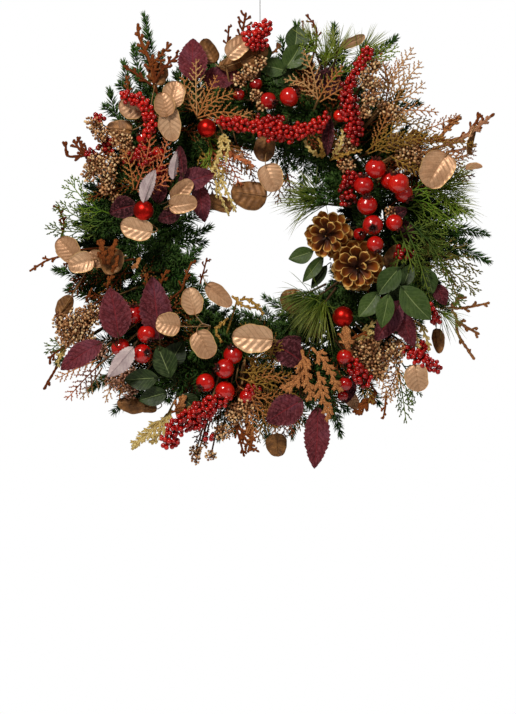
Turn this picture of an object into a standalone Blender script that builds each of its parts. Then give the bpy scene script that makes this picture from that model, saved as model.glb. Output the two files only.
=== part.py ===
"""Harvest door wreath: a welded three-ring wire form carrying wired sprays of fir, pine,
cedar, leaves, berries, seed heads, flocked twigs and two cones, hung by one nylon line.

Frame: metres, +Z up, the front faces -Y.  The origin is the point where a hook carries the
top loop of the hanging line; the line hangs straight down the Z axis to the wire eye.
"""

import math

import bmesh
import bpy
from mathutils import Matrix, Vector

# ------------------------------------------------------------------ driving dimensions
UNIT = 0.00134          # one layout unit, metres
SIGHT = 3.2             # the layout is drawn along sight lines from this far in front
CU, CV = 258.0, 357.0   # layout point on the sight axis
RU, RV = 260.0, 233.0   # layout point of the ring centre
HANG = 0.334            # hook point to ring centre
CREST_Y = 0.041         # the crest ring stands this far behind the hanging line

CREST_R = 0.169         # raised middle ring
OUTER_R = 0.200         # back outer ring
INNER_R = 0.138         # back inner ring
DOME = 0.034            # how far the back rings lie behind the crest ring
RING_WIRE = 0.00175     # ring wire radius
CROSS_WIRE = 0.0015     # cross wire radius
GAP = 0.00035           # fitting gap between neighbouring pieces
STEM = 0.0012           # pick stem radius

EYE_WIRE = 0.0012       # hanging eye wire radius
PIVOT_Z = -0.142        # centre of the eye's top arc
LINE_R = 0.0006         # nylon line radius

# ------------------------------------------------------------------ clean scene
for o in list(bpy.data.objects):
    bpy.data.objects.remove(o, do_unlink=True)
for blocks in (bpy.data.meshes, bpy.data.curves, bpy.data.materials):
    for b in list(blocks):
        blocks.remove(b)

model = bpy.data.collections.new("harvest_door_wreath")
helpers = bpy.data.collections.new("construction")
bpy.context.scene.collection.children.link(model)
bpy.context.scene.collection.children.link(helpers)

COLOURS = {
    "frame_wire": ((0.035, 0.05, 0.035), 0.45, 0.6),
    "nylon_line": ((0.75, 0.76, 0.78), 0.2, 0.0),
    "fir_green": ((0.02, 0.09, 0.03), 0.6, 0.0),
    "pine_green": ((0.09, 0.16, 0.03), 0.55, 0.0),
    "cedar_green": ((0.08, 0.13, 0.03), 0.6, 0.0),
    "gold_leaf": ((0.42, 0.25, 0.13), 0.35, 0.6),
    "burgundy_leaf": ((0.12, 0.02, 0.04), 0.7, 0.0),
    "green_leaf": ((0.03, 0.08, 0.03), 0.5, 0.0),
    "small_berry": ((0.45, 0.012, 0.012), 0.3, 0.0),
    "large_berry": ((0.55, 0.012, 0.01), 0.2, 0.0),
    "matte_ball": ((0.5, 0.01, 0.015), 0.35, 0.3),
    "cone_scale": ((0.16, 0.07, 0.02), 0.6, 0.0),
    "stem_wire": ((0.05, 0.04, 0.025), 0.6, 0.2),
    "copper_twig": ((0.28, 0.1, 0.03), 0.75, 0.1),
    "seed_gold": ((0.4, 0.22, 0.1), 0.45, 0.5),
}
MATERIALS = {}
for key, (rgb, rough, metal) in COLOURS.items():
    m = bpy.data.materials.new(key)
    m.use_nodes = True
    b = m.node_tree.nodes["Principled BSDF"]
    b.inputs["Base Color"].default_value = (*rgb, 1)
    b.inputs["Roughness"].default_value = rough
    b.inputs["Metallic"].default_value = metal
    MATERIALS[key] = m

# empties that carry each moving group, each on its joint's axis
GROUPS = {}


def group(name, place):
    e = bpy.data.objects.new(name, None)
    e.empty_display_size = 0.02
    e.location = place
    model.objects.link(e)
    GROUPS[name] = e
    return e


# ------------------------------------------------------------------ placing
def at(u, v, d):
    """Layout point (u to the right, v down) at d millimetres in front of the crest ring."""
    k = (SIGHT - d / 1000) / SIGHT
    x = ((CU - RU) + (u - CU) * k) * UNIT
    z = -HANG + ((RV - CV) + (CV - v) * k) * UNIT
    return Vector((x, CREST_Y - d / 1000, z))


def polar(r_mm, deg, d):
    """Point at a radius and angle about the ring centre, d millimetres in front."""
    a = math.radians(deg)
    return Vector((r_mm / 1000 * math.cos(a), CREST_Y - d / 1000, -HANG + r_mm / 1000 * math.sin(a)))


CREST_TIE = 1000 * (RING_WIRE + GAP + STEM)      # depth at which a stem meets the crest ring
CREST_MM = 1000 * CREST_R


def root(deg, rise=42.0):
    """A pick's stem: up from the crest ring through the free channel between the boughs."""
    return [polar(CREST_MM, deg, CREST_TIE), polar(CREST_MM, deg, rise)]


# ------------------------------------------------------------------ makers
def tidy(mesh):
    bm = bmesh.new()
    bm.from_mesh(mesh)
    bmesh.ops.remove_doubles(bm, verts=bm.verts, dist=0.00001)
    bmesh.ops.recalc_face_normals(bm, faces=bm.faces)
    bm.to_mesh(mesh)
    bm.free()


def add(obj, name, slot, parent=None):
    obj.name = name
    if obj.data.materials:
        obj.data.materials.clear()
    obj.data.materials.append(MATERIALS[slot])
    if parent:
        p = GROUPS[parent]
        obj.parent = p
        obj.matrix_parent_inverse = Matrix.Translation(-p.location)
    return obj


def curve(points, radii, sides=6, cyclic=False):
    """A wire or a soft spindle: a poly curve whose radius changes along it (metres)."""
    c = bpy.data.curves.new("c", "CURVE")
    c.dimensions = "3D"
    s = c.splines.new("POLY")
    s.points.add(len(points) - 1)
    for p, co, r in zip(s.points, points, radii):
        p.co = (*co, 1)
        p.radius = r * 1000
    s.use_cyclic_u = cyclic
    c.bevel_depth = 0.001
    c.bevel_resolution = max(0, (sides - 4) // 2)
    c.use_fill_caps = not cyclic
    o = bpy.data.objects.new("c", c)
    model.objects.link(o)
    return o


def smooth(points, radii, steps=3):
    """Catmull-Rom through the given points, so that a bough bends like a bough."""
    out, rr = [], []
    n = len(points)
    for i in range(n - 1):
        p0 = points[max(i - 1, 0)]
        p1, p2 = points[i], points[i + 1]
        p3 = points[min(i + 2, n - 1)]
        for k in range(steps):
            t = k / steps
            q = 0.5 * ((2 * p1) + (p2 - p0) * t + (2 * p0 - 5 * p1 + 4 * p2 - p3) * t * t + (3 * p1 - p0 - 3 * p2 + p3) * t ** 3)
            out.append(q)
            rr.append(radii[i] + (radii[i + 1] - radii[i]) * t)
    out.append(points[-1])
    rr.append(radii[-1])
    return out, rr


def as_mesh(obj):
    """The evaluated object as a plain mesh object with its caps welded."""
    graph = bpy.context.evaluated_depsgraph_get()
    mesh = bpy.data.meshes.new_from_object(obj.evaluated_get(graph))
    tidy(mesh)
    made = bpy.data.objects.new("m", mesh)
    made.matrix_world = obj.matrix_world
    model.objects.link(made)
    bpy.data.objects.remove(obj, do_unlink=True)
    return made


def joined(parts):
    """Boolean union of mesh objects into one closed body."""
    parts = [as_mesh(p) if p.type == "CURVE" else p for p in parts]
    base = parts[0]
    for p in parts[1:]:
        mod = base.modifiers.new("join", "BOOLEAN")
        mod.operation = "UNION"
        mod.solver = "EXACT"
        mod.object = p
        graph = bpy.context.evaluated_depsgraph_get()
        mesh = bpy.data.meshes.new_from_object(base.evaluated_get(graph))
        base.modifiers.clear()
        base.data = mesh
        bpy.data.objects.remove(p, do_unlink=True)
    return base


def wire(name, slot, points, radius, sides=6, parent=None):
    return add(curve(points, [radius] * len(points), sides), name, slot, parent)


def spray(name, slot, head, angle=None, stem=None, sides=8, parent=None, steps=2, rise=42.0):
    """A soft spray: thin stem from the ring, then a spindle through head = [(u, v, d, r_mm)]."""
    pts = list(stem) if stem else root(angle, rise)
    rad = [STEM] * len(pts)
    hp = [at(u, v, d) for u, v, d, _ in head]
    hr = [r / 1000 for *_, r in head]
    sm, sr = smooth(hp, hr, steps)
    return add(curve(pts + sm, rad + sr, sides), name, slot, parent)


def ball(place, radius, squash=1.0, level=2):
    bm = bmesh.new()
    bmesh.ops.create_icosphere(bm, subdivisions=level, radius=radius, matrix=Matrix.Translation(place))
    mesh = bpy.data.meshes.new("ball")
    bm.to_mesh(mesh)
    bm.free()
    o = bpy.data.objects.new("ball", mesh)
    model.objects.link(o)
    return o


def blade(u, v, d, length, width, angle, pitch=0.0, roll=0.0, n=8, thick=1.6):
    """A leaf: a flat pointed oval.  (u, v, d) is its base, angle its direction in degrees
    (0 right, 90 up), pitch its lift towards the front; length and width are in millimetres."""
    c = bpy.data.curves.new("leaf", "CURVE")
    c.dimensions = "2D"
    c.fill_mode = "BOTH"
    c.extrude = thick / 2000
    s = c.splines.new("POLY")
    half = n // 2
    ring = []
    for i in range(half + 1):
        t = i / half
        ring.append((t, math.sin(math.pi * t ** 0.85) ** 0.75 if 0 < t < 1 else 0.0))
    outline = [(t * length, w * width / 2) for t, w in ring] + [(t * length, -w * width / 2) for t, w in ring[-2:0:-1]]
    s.points.add(len(outline) - 1)
    for p, (x, y) in zip(s.points, outline):
        p.co = (x / 1000, y / 1000, 0, 1)
    s.use_cyclic_u = True
    o = bpy.data.objects.new("leaf", c)
    model.objects.link(o)
    # local x along the leaf, local z its normal; the blade stands in the X-Z plane facing -Y
    stand = Matrix.Rotation(math.radians(90), 4, "X")
    turn = Matrix.Rotation(math.radians(-angle), 4, "Y")
    lift = Matrix.Rotation(math.radians(-pitch), 4, "Z")
    twist = Matrix.Rotation(math.radians(roll), 4, "X")
    o.matrix_world = Matrix.Translation(at(u, v, d)) @ turn @ lift @ twist @ stand
    bpy.context.view_layer.update()
    return o


def toward(p, q, share):
    return p + (q - p) * share


def leaf_pick(name, slot, angle, hub, leaves, parent=None, rise=42.0, thick=1.6):
    """Stem from the ring to a hub, a petiole to each leaf's base, and the leaves themselves."""
    hp = at(*hub)
    parts = [curve(root(angle, rise) + [hp], [STEM] * 3, 6), ball(hp, 0.0026, level=1)]
    for (u, v, d, length, width, a, pitch, roll) in leaves:
        leaf = blade(u, v, d, length, width, a, pitch, roll, thick=thick)
        base = leaf.matrix_world @ Vector((0.0, 0, 0))
        inside = leaf.matrix_world @ Vector((length * 0.22 / 1000, 0, 0))
        parts.append(leaf)
        parts.append(curve([hp, toward(hp, base, 0.98), inside], [STEM * 1.05, STEM * 1.15, STEM * 0.95], 6))
    return add(joined(parts), name, slot, parent)


def berry_pick(name, slot, angle, hub, berries, parent=None, rise=42.0):
    """Stem to a hub, then a short wire to each berry (u, v, d, r_mm)."""
    hp = at(*hub)
    parts = [curve(root(angle, rise) + [hp], [STEM] * 3, 6), ball(hp, 0.0026, level=1)]
    for (u, v, d, r) in berries:
        c = at(u, v, d)
        parts.append(ball(c, r / 1000))
        parts.append(curve([hp, toward(hp, c, 0.9)], [STEM * 1.07, STEM * 0.97], 6))
    return add(joined(parts), name, slot, parent)


def twig(name, slot, stem, main, sides_, parent=None):
    """A flocked twig: a tapering main shoot with short side shoots."""
    hp = [at(u, v, d) for u, v, d, _ in main]
    hr = [r / 1000 for *_, r in main]
    sm, sr = smooth(hp, hr, 2)
    parts = [curve(list(stem) + sm, [STEM] * len(stem) + sr, 6)]
    for a, b, r in sides_:
        parts.append(curve([at(*a), at(*b)], [r / 1000, r * 0.7 / 1000], 6))
    return add(joined(parts), name, slot, parent)


def lathe(profile, steps):
    """A turned body about +Z: the profile [(radius, height)] runs from the top to the bottom."""
    mesh = bpy.data.meshes.new("profile")
    verts = [(r, 0, h) for r, h in profile]
    mesh.from_pydata(verts, [(i, i + 1) for i in range(len(verts) - 1)], [])
    o = bpy.data.objects.new("turned", mesh)
    model.objects.link(o)
    mod = o.modifiers.new("turn", "SCREW")
    mod.steps = mod.render_steps = steps
    mod.use_merge_vertices = True
    mod.merge_threshold = 0.00005
    return o


def ring(name, radius, d, steps=42):
    """A ring of hexagonal-faced wire about the Y axis, with a flat facing the back."""
    y = CREST_Y - d / 1000
    prof = [(radius + RING_WIRE * math.cos(math.radians(60 * k)), RING_WIRE * math.sin(math.radians(60 * k))) for k in range(6)]
    mesh = bpy.data.meshes.new(name)
    mesh.from_pydata([(a, 0, b) for a, b in prof], [(i, (i + 1) % 6) for i in range(6)], [])
    o = bpy.data.objects.new(name, mesh)
    model.objects.link(o)
    mod = o.modifiers.new("turn", "SCREW")
    mod.steps = mod.render_steps = steps
    mod.use_merge_vertices = True
    mod.merge_threshold = 0.00005
    o.rotation_euler = (math.radians(-90), 0, 0)
    o.location = (0, y, -HANG)
    bpy.context.view_layer.update()
    made = as_mesh(o)
    for p in made.data.polygons:
        p.use_smooth = True
    return add(made, name, "frame_wire")


# ------------------------------------------------------------------ the wire form
ring("frame_crest_ring", CREST_R, 0.0)
ring("frame_outer_ring", OUTER_R, -1000 * DOME)
ring("frame_inner_ring", INNER_R, -1000 * DOME)
BACK = -1000 * DOME + 1000 * (RING_WIRE + CROSS_WIRE + GAP + 0.0002)
TOP = -1000 * (RING_WIRE + CROSS_WIRE + GAP + 0.0002)
for i, deg in enumerate((45, 135, 225, 315)):
    path = [(204, BACK), (196, BACK), (173, TOP), (165, TOP), (142, BACK), (134, BACK)]
    wire(f"frame_cross_wire_{i + 1}", "frame_wire", [polar(r, deg, d) for r, d in path], CROSS_WIRE)

# ------------------------------------------------------------------ hanging eye, loops and line
eye = []
WRAP = RING_WIRE + GAP + EYE_WIRE
crest_top = Vector((0, CREST_Y, -HANG + CREST_R))
eye += [Vector((-0.0068, CREST_Y * 0.62, -0.1588)), Vector((-0.0085, CREST_Y * 0.25, -0.1515))]
for k in range(9):
    a = math.radians(180 - 22.5 * k)
    eye.append(Vector((0.0075 * math.cos(a), 0.0, PIVOT_Z - 0.0075 + 0.0075 * math.sin(a))))
eye += [Vector((0.0085, CREST_Y * 0.25, -0.1515)), Vector((0.0068, CREST_Y * 0.65, -0.1592))]
turns, per = 2.25, 8
for k in range(int(turns * per) + 1):
    a = math.radians(125) - 2 * math.pi * k / per
    x = 0.0048 - 0.0048 * 2 * k / (turns * per)
    eye.append(Vector((x, CREST_Y + WRAP * 1.04 * math.cos(a), -HANG + CREST_R - 0.00002 + WRAP * 1.04 * math.sin(a))))
wire("hanger_eye", "frame_wire", eye, EYE_WIRE, 6)


def loop_with_knot(name, centre, half_w, half_h, plane, knot_z, knot_r, count=16):
    pts = []
    for k in range(count):
        a = 2 * math.pi * k / count
        w, h = half_w * math.sin(a), half_h * math.cos(a)
        pts.append(centre + (Vector((0, w, h)) if plane == "YZ" else Vector((w, 0, h))))
    rim = curve(pts, [LINE_R] * count, 6, cyclic=True)
    rim_mesh = as_mesh(rim)
    return add(joined([rim_mesh, ball(Vector((centre.x, centre.y, knot_z)), knot_r, level=2)]), name, "nylon_line")


low_bottom = PIVOT_Z - EYE_WIRE - GAP - LINE_R
low_top = PIVOT_Z + 0.0085
loop_with_knot("line_lower_loop", Vector((0, 0, (low_bottom + low_top) / 2)), 0.0032, (low_top - low_bottom) / 2, "YZ", low_top + 0.0004, 0.0017)
top_r = 0.0066
loop_with_knot("line_top_loop", Vector((0, 0, LINE_R - top_r)), top_r * 0.85, top_r, "XZ", LINE_R - 2 * top_r - 0.0006, 0.0017)
z0 = low_top + 0.0004 + 0.0017 + GAP
z1 = LINE_R - 2 * top_r - 0.0006 - 0.0017 - GAP
wire("hanging_line", "nylon_line", [Vector((0, 0, z0 + (z1 - z0) * k / 6)) for k in range(7)], LINE_R, 8)

# ------------------------------------------------------------------ moving groups
group("wreath_pivot", (0, 0, PIVOT_Z))


def outer_tie(deg):
    """Stem start on the front of the outer back ring."""
    return polar(1000 * OUTER_R, deg, -1000 * DOME + 1000 * (RING_WIRE + GAP + STEM))


TWIG_DEG = {"twig_left_upper": 152.0, "twig_left_lower": 207.0, "twig_right_lower": -31.0, "twig_right_upper": 31.0}
for key, deg in TWIG_DEG.items():
    group(key + "_pivot", outer_tie(deg))

# ------------------------------------------------------------------ fir boughs (first layer)
FIR = {
    "fir_bough_top_left": (124, [(183, 122, 22, 6), (170, 98, 25, 17), (157, 58, 27, 15), (145, 12, 28, 3)]),
    "fir_bough_left": (176, [(126, 226, 22, 6), (108, 234, 25, 16), (84, 256, 26, 15), (62, 274, 26, 3)]),
    "fir_bough_bottom_left": (214, [(148, 309, 22, 6), (136, 330, 25, 18), (128, 362, 26, 18), (112, 398, 26, 4)]),
    "fir_bough_bottom": (252, [(218, 361, 22, 6), (212, 376, 25, 14), (190, 398, 26, 17), (160, 400, 26, 4)]),
    "fir_bough_bottom_right": (-66, [(314, 358, 22, 6), (318, 376, 25, 15), (326, 404, 26, 15), (322, 434, 26, 3)]),
    "fir_bough_right": (-1.5, [(396, 230, 22, 6), (416, 222, 25, 17), (450, 226, 26, 16), (486, 250, 26, 4)]),
    "fir_bough_top_right": (64, [(322, 112, 22, 6), (330, 96, 25, 16), (352, 68, 26, 17), (398, 44, 26, 4)]),
    "fir_bough_inner_left": (190, [(146, 254, 22, 6), (162, 252, 25, 14), (182, 240, 26, 13), (204, 222, 26, 3)]),
}
for name, (deg, head) in FIR.items():
    spray(name, "fir_green", head, deg, rise=8.0)

# ------------------------------------------------------------------ pine and cedar (second layer)
spray("pine_tuft_top", "pine_green", [(303, 100, 52, 4), (312, 78, 56, 11), (326, 56, 58, 13), (340, 34, 58, 4)], 70)
spray("pine_tuft_inner_right", "pine_green", [(366, 208, 48, 4), (336, 206, 50, 9), (306, 206, 50, 11), (276, 196, 50, 3)], 12)
spray("pine_tuft_bottom", "pine_green", [(328, 322, 52, 4), (312, 316, 56, 11), (298, 322, 56, 13), (286, 342, 54, 4)], -48)
spray("cedar_spray_right", "cedar_green", [(394, 278, 52, 4), (418, 262, 56, 13), (440, 278, 56, 15), (464, 306, 52, 4)], -22)

# ------------------------------------------------------------------ seed heads
spray("seed_head_left", "seed_gold", [(128, 172, 60, 3), (112, 160, 64, 17), (98, 142, 66, 19), (92, 114, 64, 5)], 155)
spray("seed_head_top_right", "seed_gold", [(354, 122, 64, 3), (362, 108, 68, 13), (368, 88, 70, 15), (372, 68, 68, 5)], 48)
spray("seed_head_bottom_left", "seed_gold", [(118, 300, 56, 3), (98, 308, 62, 15), (78, 320, 64, 18), (60, 326, 62, 5)], 201)
spray("seed_head_bottom_right", "seed_gold", [(346, 338, 58, 3), (354, 346, 64, 16), (368, 362, 66, 17), (380, 380, 64, 5)], -54)

# ------------------------------------------------------------------ strands of small berries
spray("berry_strand_left", "small_berry", [(150, 160, 84, 4), (148, 138, 92, 9), (150, 116, 92, 9), (140, 102, 90, 8), (122, 98, 88, 4)], 141, steps=2)
spray("berry_strand_centre", "small_berry", [(326, 120, 92, 5), (304, 132, 96, 8), (276, 133, 98, 9), (250, 130, 96, 9), (224, 126, 92, 4)], 58)
spray("berry_strand_top_right", "small_berry", [(346, 140, 96, 5), (346, 112, 98, 8), (354, 80, 98, 8), (369, 54, 94, 4)], 44)
spray("berry_strand_bottom", "small_berry", [(240, 398, 92, 5), (214, 408, 96, 9), (186, 424, 96, 9), (169, 444, 92, 4)], 257)

# ------------------------------------------------------------------ large crowned berries
berry_pick("large_berries_right_upper", "large_berry", 22, (378, 186, 62), [(375, 168, 92, 13), (363, 187, 92, 12.5), (397, 186, 96, 12.5)])
berry_pick("large_berries_right_lower", "large_berry", 8.5, (378, 222, 66), [(368, 206, 92, 12.5), (372, 227, 94, 12.5), (394, 222, 90, 10.5), (375, 243, 105, 10)])
berry_pick("large_berries_left", "large_berry", 218, (140, 339, 65), [(135, 321, 84, 11), (147, 335, 92, 12), (122, 351, 88, 12), (143, 356, 90, 12)])
berry_pick("large_berries_bottom", "large_berry", 247, (222, 372, 66), [(233, 354, 92, 12), (224, 370, 96, 12), (206, 383, 92, 12), (225, 390, 88, 11)])
berry_pick("large_berries_top", "large_berry", 84, (276, 102, 62), [(289, 96, 82, 11.5), (268, 101, 80, 10.5)])

# ------------------------------------------------------------------ matte balls
spray("matte_ball_left", "matte_ball", [(150, 205, 84, 2), (148, 207, 88, 9), (146, 209, 96, 14), (145, 211, 104, 12), (144, 212, 109, 4)], 161, steps=1)
spray("matte_ball_top", "matte_ball", [(206, 128, 74, 2), (207, 128, 79, 9), (207, 128, 86, 13), (207, 127, 94, 12), (207, 127, 99, 4)], 112, steps=1)
spray("matte_ball_bottom", "matte_ball", [(342, 318, 64, 2), (343, 318, 69, 9), (343, 317, 77, 14), (343, 317, 86, 13), (343, 317, 92, 4)], -42, steps=1)

# ------------------------------------------------------------------ flat leaves
leaf_pick("gold_leaves_top_left", "gold_leaf", 133, (150, 116, 70), [(142, 116, 74, 36, 34, 150, 8, 0), (128, 132, 62, 38, 34, 120, 5, 0), (168, 106, 98, 34, 34, 62, 10, 0), (162, 110, 104, 34, 30, 120, 6, 0)])
leaf_pick("gold_leaves_top", "gold_leaf", 106, (226, 62, 66), [(224, 58, 70, 40, 32, 30, 6, 0), (214, 58, 62, 34, 34, 100, 4, 0)])
leaf_pick("gold_leaves_left", "gold_leaf", 183, (98, 256, 66), [(76, 258, 74, 34, 40, 140, 6, 0), (92, 262, 78, 34, 32, 200, 6, 0), (104, 268, 70, 38, 38, 60, 6, 0)])
leaf_pick("gold_leaves_lower_left", "gold_leaf", 232, (212, 326, 92), [(200, 312, 100, 34, 30, 112, 8, 0), (180, 326, 104, 36, 36, 172, 4, 0), (202, 336, 108, 38, 38, -80, 4, 0), (228, 308, 92, 44, 30, 130, 6, 0)])
leaf_pick("gold_leaves_bottom", "gold_leaf", 268, (270, 342, 96), [(272, 340, 104, 56, 44, 168, 4, 0)])
leaf_pick("gold_leaves_right", "gold_leaf", 18, (430, 158, 86), [(440, 154, 90, 60, 44, -112, 6, 0)])

leaf_pick("burgundy_leaves_top", "burgundy_leaf", 117, (202, 92, 60), [(196, 82, 62, 56, 42, 92, 6, 0), (207, 85, 46, 54, 34, 32, 0, 0)])
leaf_pick("burgundy_leaves_left", "burgundy_leaf", 157, (176, 194, 78), [(176, 188, 84, 46, 26, 82, 8, 0), (184, 194, 78, 50, 40, 20, 6, 0), (150, 188, 100, 44, 18, 78, 8, 60)])
leaf_pick("burgundy_leaves_lower_left", "burgundy_leaf", 205, (112, 338, 100), [(118, 334, 104, 64, 42, 108, 6, 0), (102, 334, 100, 62, 26, 210, 8, 20), (134, 342, 112, 52, 26, 232, 0, 0)])
leaf_pick("burgundy_leaves_bottom", "burgundy_leaf", 278, (300, 396, 88), [(304, 396, 98, 58, 44, 210, 6, 0), (312, 402, 92, 88, 38, -92, 4, 0), (285, 362, 84, 42, 34, 78, 4, 0)])

leaf_pick("green_leaves_right", "green_leaf", -14, (398, 298, 88), [(392, 290, 100, 46, 32, 205, 4, 0), (384, 298, 94, 50, 30, -110, 6, 0), (396, 302, 104, 56, 38, -38, 4, 0)])
leaf_pick("green_leaves_lower_left", "green_leaf", 226, (172, 362, 78), [(178, 374, 86, 44, 30, 165, 3, 0), (168, 386, 78, 46, 32, 192, 3, 0), (186, 372, 74, 50, 40, 60, 4, 0)])

# ------------------------------------------------------------------ pine cones, each turning on its wired stalk
CONES = {
    "upper": dict(base=(332, 232, 50), tip=(324, 237, 104), r=26.5, deg=5),
    "lower": dict(base=(358, 262, 54), tip=(357, 270, 114), r=29.5, deg=-6),
}


def cone(key, base, tip, r, deg):
    b, t = at(*base), at(*tip)
    axis = (t - b).normalized()
    length = (t - b).length
    group(f"pine_cone_{key}_axis", b)
    shape = [(0.0, 1.0), (0.22, 0.985), (0.48, 0.90), (0.76, 0.70), (0.95, 0.45), (1.0, 0.28), (0.82, 0.10), (0.45, 0.02)]
    prof = [(r / 1000 * a, length * h) for a, h in shape]
    prof += [(0.0022, 0.0), (0.0022, -0.0075), (0.0, -0.0075)]
    o = lathe(prof, 12)
    q = axis.to_track_quat("Z", "Y")
    o.rotation_mode = "QUATERNION"
    o.rotation_quaternion = q
    o.location = b
    bpy.context.view_layer.update()
    made = as_mesh(o)
    add(made, f"pine_cone_{key}", "cone_scale", f"pine_cone_{key}_axis")
    # the wire: a turn round the stalk with running clearance, then back to the crest ring
    turn = 0.0022 + 0.0004 + 0.0009
    side = axis.orthogonal().normalized()
    other = axis.cross(side).normalized()
    start = polar(CREST_MM, deg, 42.0)
    away = (start - b)
    away = (away - axis * away.dot(axis)).normalized()
    side, other = away, axis.cross(away).normalized()
    pts = [polar(CREST_MM, deg, 1000 * (RING_WIRE + GAP + 0.0009)), start, b - axis * 0.0042 + away * 0.012]
    for k in range(12):
        a = 2 * math.pi * k / 12.0 * 0.96
        pts.append(b - axis * (0.0048 - 0.0018 * k / 12) + (side * math.cos(a) + other * math.sin(a)) * turn * 1.05)
    wire(f"pine_cone_{key}_wire", "stem_wire", pts, 0.0009, 6)


for key, spec in CONES.items():
    cone(key, **spec)

# ------------------------------------------------------------------ flocked twigs
twig("copper_twig_bottom", "copper_twig", root(-74, 44), [(302, 372, 96, 2), (318, 384, 108, 3.6), (322, 404, 112, 3.6), (332, 428, 108, 2.4)],
     [((319, 392, 110), (334, 398, 110), 2.6), ((324, 410, 112), (314, 424, 110), 2.6)])

tie = outer_tie(TWIG_DEG["twig_left_upper"])
twig("copper_twig_left_upper", "copper_twig", [tie], [(118, 162, -14, 1.6), (104, 157, -4, 3), (88, 152, 2, 3), (68, 152, 6, 2.2)],
     [((92, 153, 0), (78, 138, 4), 2.2)], parent="twig_left_upper_pivot")
tie = outer_tie(TWIG_DEG["twig_left_lower"])
twig("copper_twig_left_lower", "copper_twig", [tie], [(112, 308, -14, 1.6), (92, 322, -4, 3), (62, 350, 2, 3), (45, 388, 4, 2.2)],
     [((68, 344, 0), (54, 358, 2), 2.2)], parent="twig_left_lower_pivot")
tie = outer_tie(TWIG_DEG["twig_right_lower"])
twig("copper_twig_right_lower", "copper_twig", [tie], [(408, 312, -14, 1.6), (430, 306, -4, 3), (456, 312, 2, 3), (474, 352, 4, 2.2)],
     [((450, 308, 0), (490, 308, 2), 2.6)], parent="twig_right_lower_pivot")
tie = outer_tie(TWIG_DEG["twig_right_upper"])
twig("copper_twig_right_upper", "copper_twig", [tie], [(404, 146, -14, 1.6), (424, 138, -4, 3), (456, 130, 2, 3), (494, 114, 6, 2.2)],
     [((448, 132, 0), (466, 108, 4), 2.4)], parent="twig_right_upper_pivot")
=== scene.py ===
"""Looks of the harvest door wreath: fir, pine and cedar sprays, ferns, flocked twigs, leaves, berries,
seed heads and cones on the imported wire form.  Everything is in metres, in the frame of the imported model."""

import math

import bpy
import numpy as np
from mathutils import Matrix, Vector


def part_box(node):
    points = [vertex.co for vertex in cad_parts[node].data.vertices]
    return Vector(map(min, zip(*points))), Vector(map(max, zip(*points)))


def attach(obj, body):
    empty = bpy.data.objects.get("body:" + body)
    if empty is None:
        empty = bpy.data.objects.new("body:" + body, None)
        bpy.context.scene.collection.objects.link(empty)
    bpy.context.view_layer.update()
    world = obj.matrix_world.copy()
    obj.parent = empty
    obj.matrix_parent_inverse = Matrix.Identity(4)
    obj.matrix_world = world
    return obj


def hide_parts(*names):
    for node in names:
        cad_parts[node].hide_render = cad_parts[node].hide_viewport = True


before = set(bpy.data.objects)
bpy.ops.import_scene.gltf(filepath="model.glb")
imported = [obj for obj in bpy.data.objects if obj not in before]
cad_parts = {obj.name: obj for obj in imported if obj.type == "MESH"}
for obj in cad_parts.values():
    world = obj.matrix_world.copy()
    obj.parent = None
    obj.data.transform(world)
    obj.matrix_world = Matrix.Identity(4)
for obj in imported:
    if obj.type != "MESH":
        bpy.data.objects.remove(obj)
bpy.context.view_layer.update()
scene = bpy.context.scene

# ------------------------------------------------------------------ layout
UNIT, SIGHT = 0.00134, 3.2
CU, CV = 258.0, 357.0
RU, RV = 260.0, 233.0
HANG, CREST_Y, PIVOT_Z = 0.334, 0.041, -0.142
CREST_R, OUTER_R, DOME = 0.169, 0.200, 0.034


def at(u, v, d):
    """Layout point (u right, v down) at d millimetres in front of the crest ring."""
    k = (SIGHT - d / 1000) / SIGHT
    return np.array([((CU - RU) + (u - CU) * k) * UNIT, CREST_Y - d / 1000, -HANG + ((RV - CV) + (CV - v) * k) * UNIT])


def polar(r_mm, deg, d):
    a = math.radians(deg)
    return np.array([r_mm / 1000 * math.cos(a), CREST_Y - d / 1000, -HANG + r_mm / 1000 * math.sin(a)])


def unit(v):
    v = np.asarray(v, float)
    return v / max(np.linalg.norm(v), 1e-9)


def unit_rows(v):
    return v / np.maximum(np.linalg.norm(v, axis=1, keepdims=True), 1e-9)


# the two cones: key, base, tip, radius in mm; greenery keeps clear of the space their scales swing through
CONES = [("upper", (332, 232, 50), (324, 237, 104), 29.0), ("lower", (358, 262, 54), (357, 270, 114), 33.0)]
KEEP_CLEAR = True


def in_cone_space(P):
    """True for each point inside the room kept for a cone."""
    P = np.atleast_2d(P)
    inside = np.zeros(len(P), bool)
    for _, base, tip, R in CONES:
        b, t = at(*base), at(*tip)
        L = float(np.linalg.norm(t - b))
        ax = (t - b) / L
        s = (P - b) @ ax
        rad = np.linalg.norm(P - b - s[:, None] * ax, axis=1)
        inside |= (s > -0.013) & (s < L + 0.010) & (rad < R / 1000 + 0.004 + 0.06 * np.clip(s, 0, None))
    return inside


VIEW = np.array([0.0, -1.0, 0.0])
RNG = np.random.default_rng(20240611)


def rnd(a=1.0, b=None):
    return float(RNG.uniform(a, b)) if b is not None else float(RNG.uniform(0, a))


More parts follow.
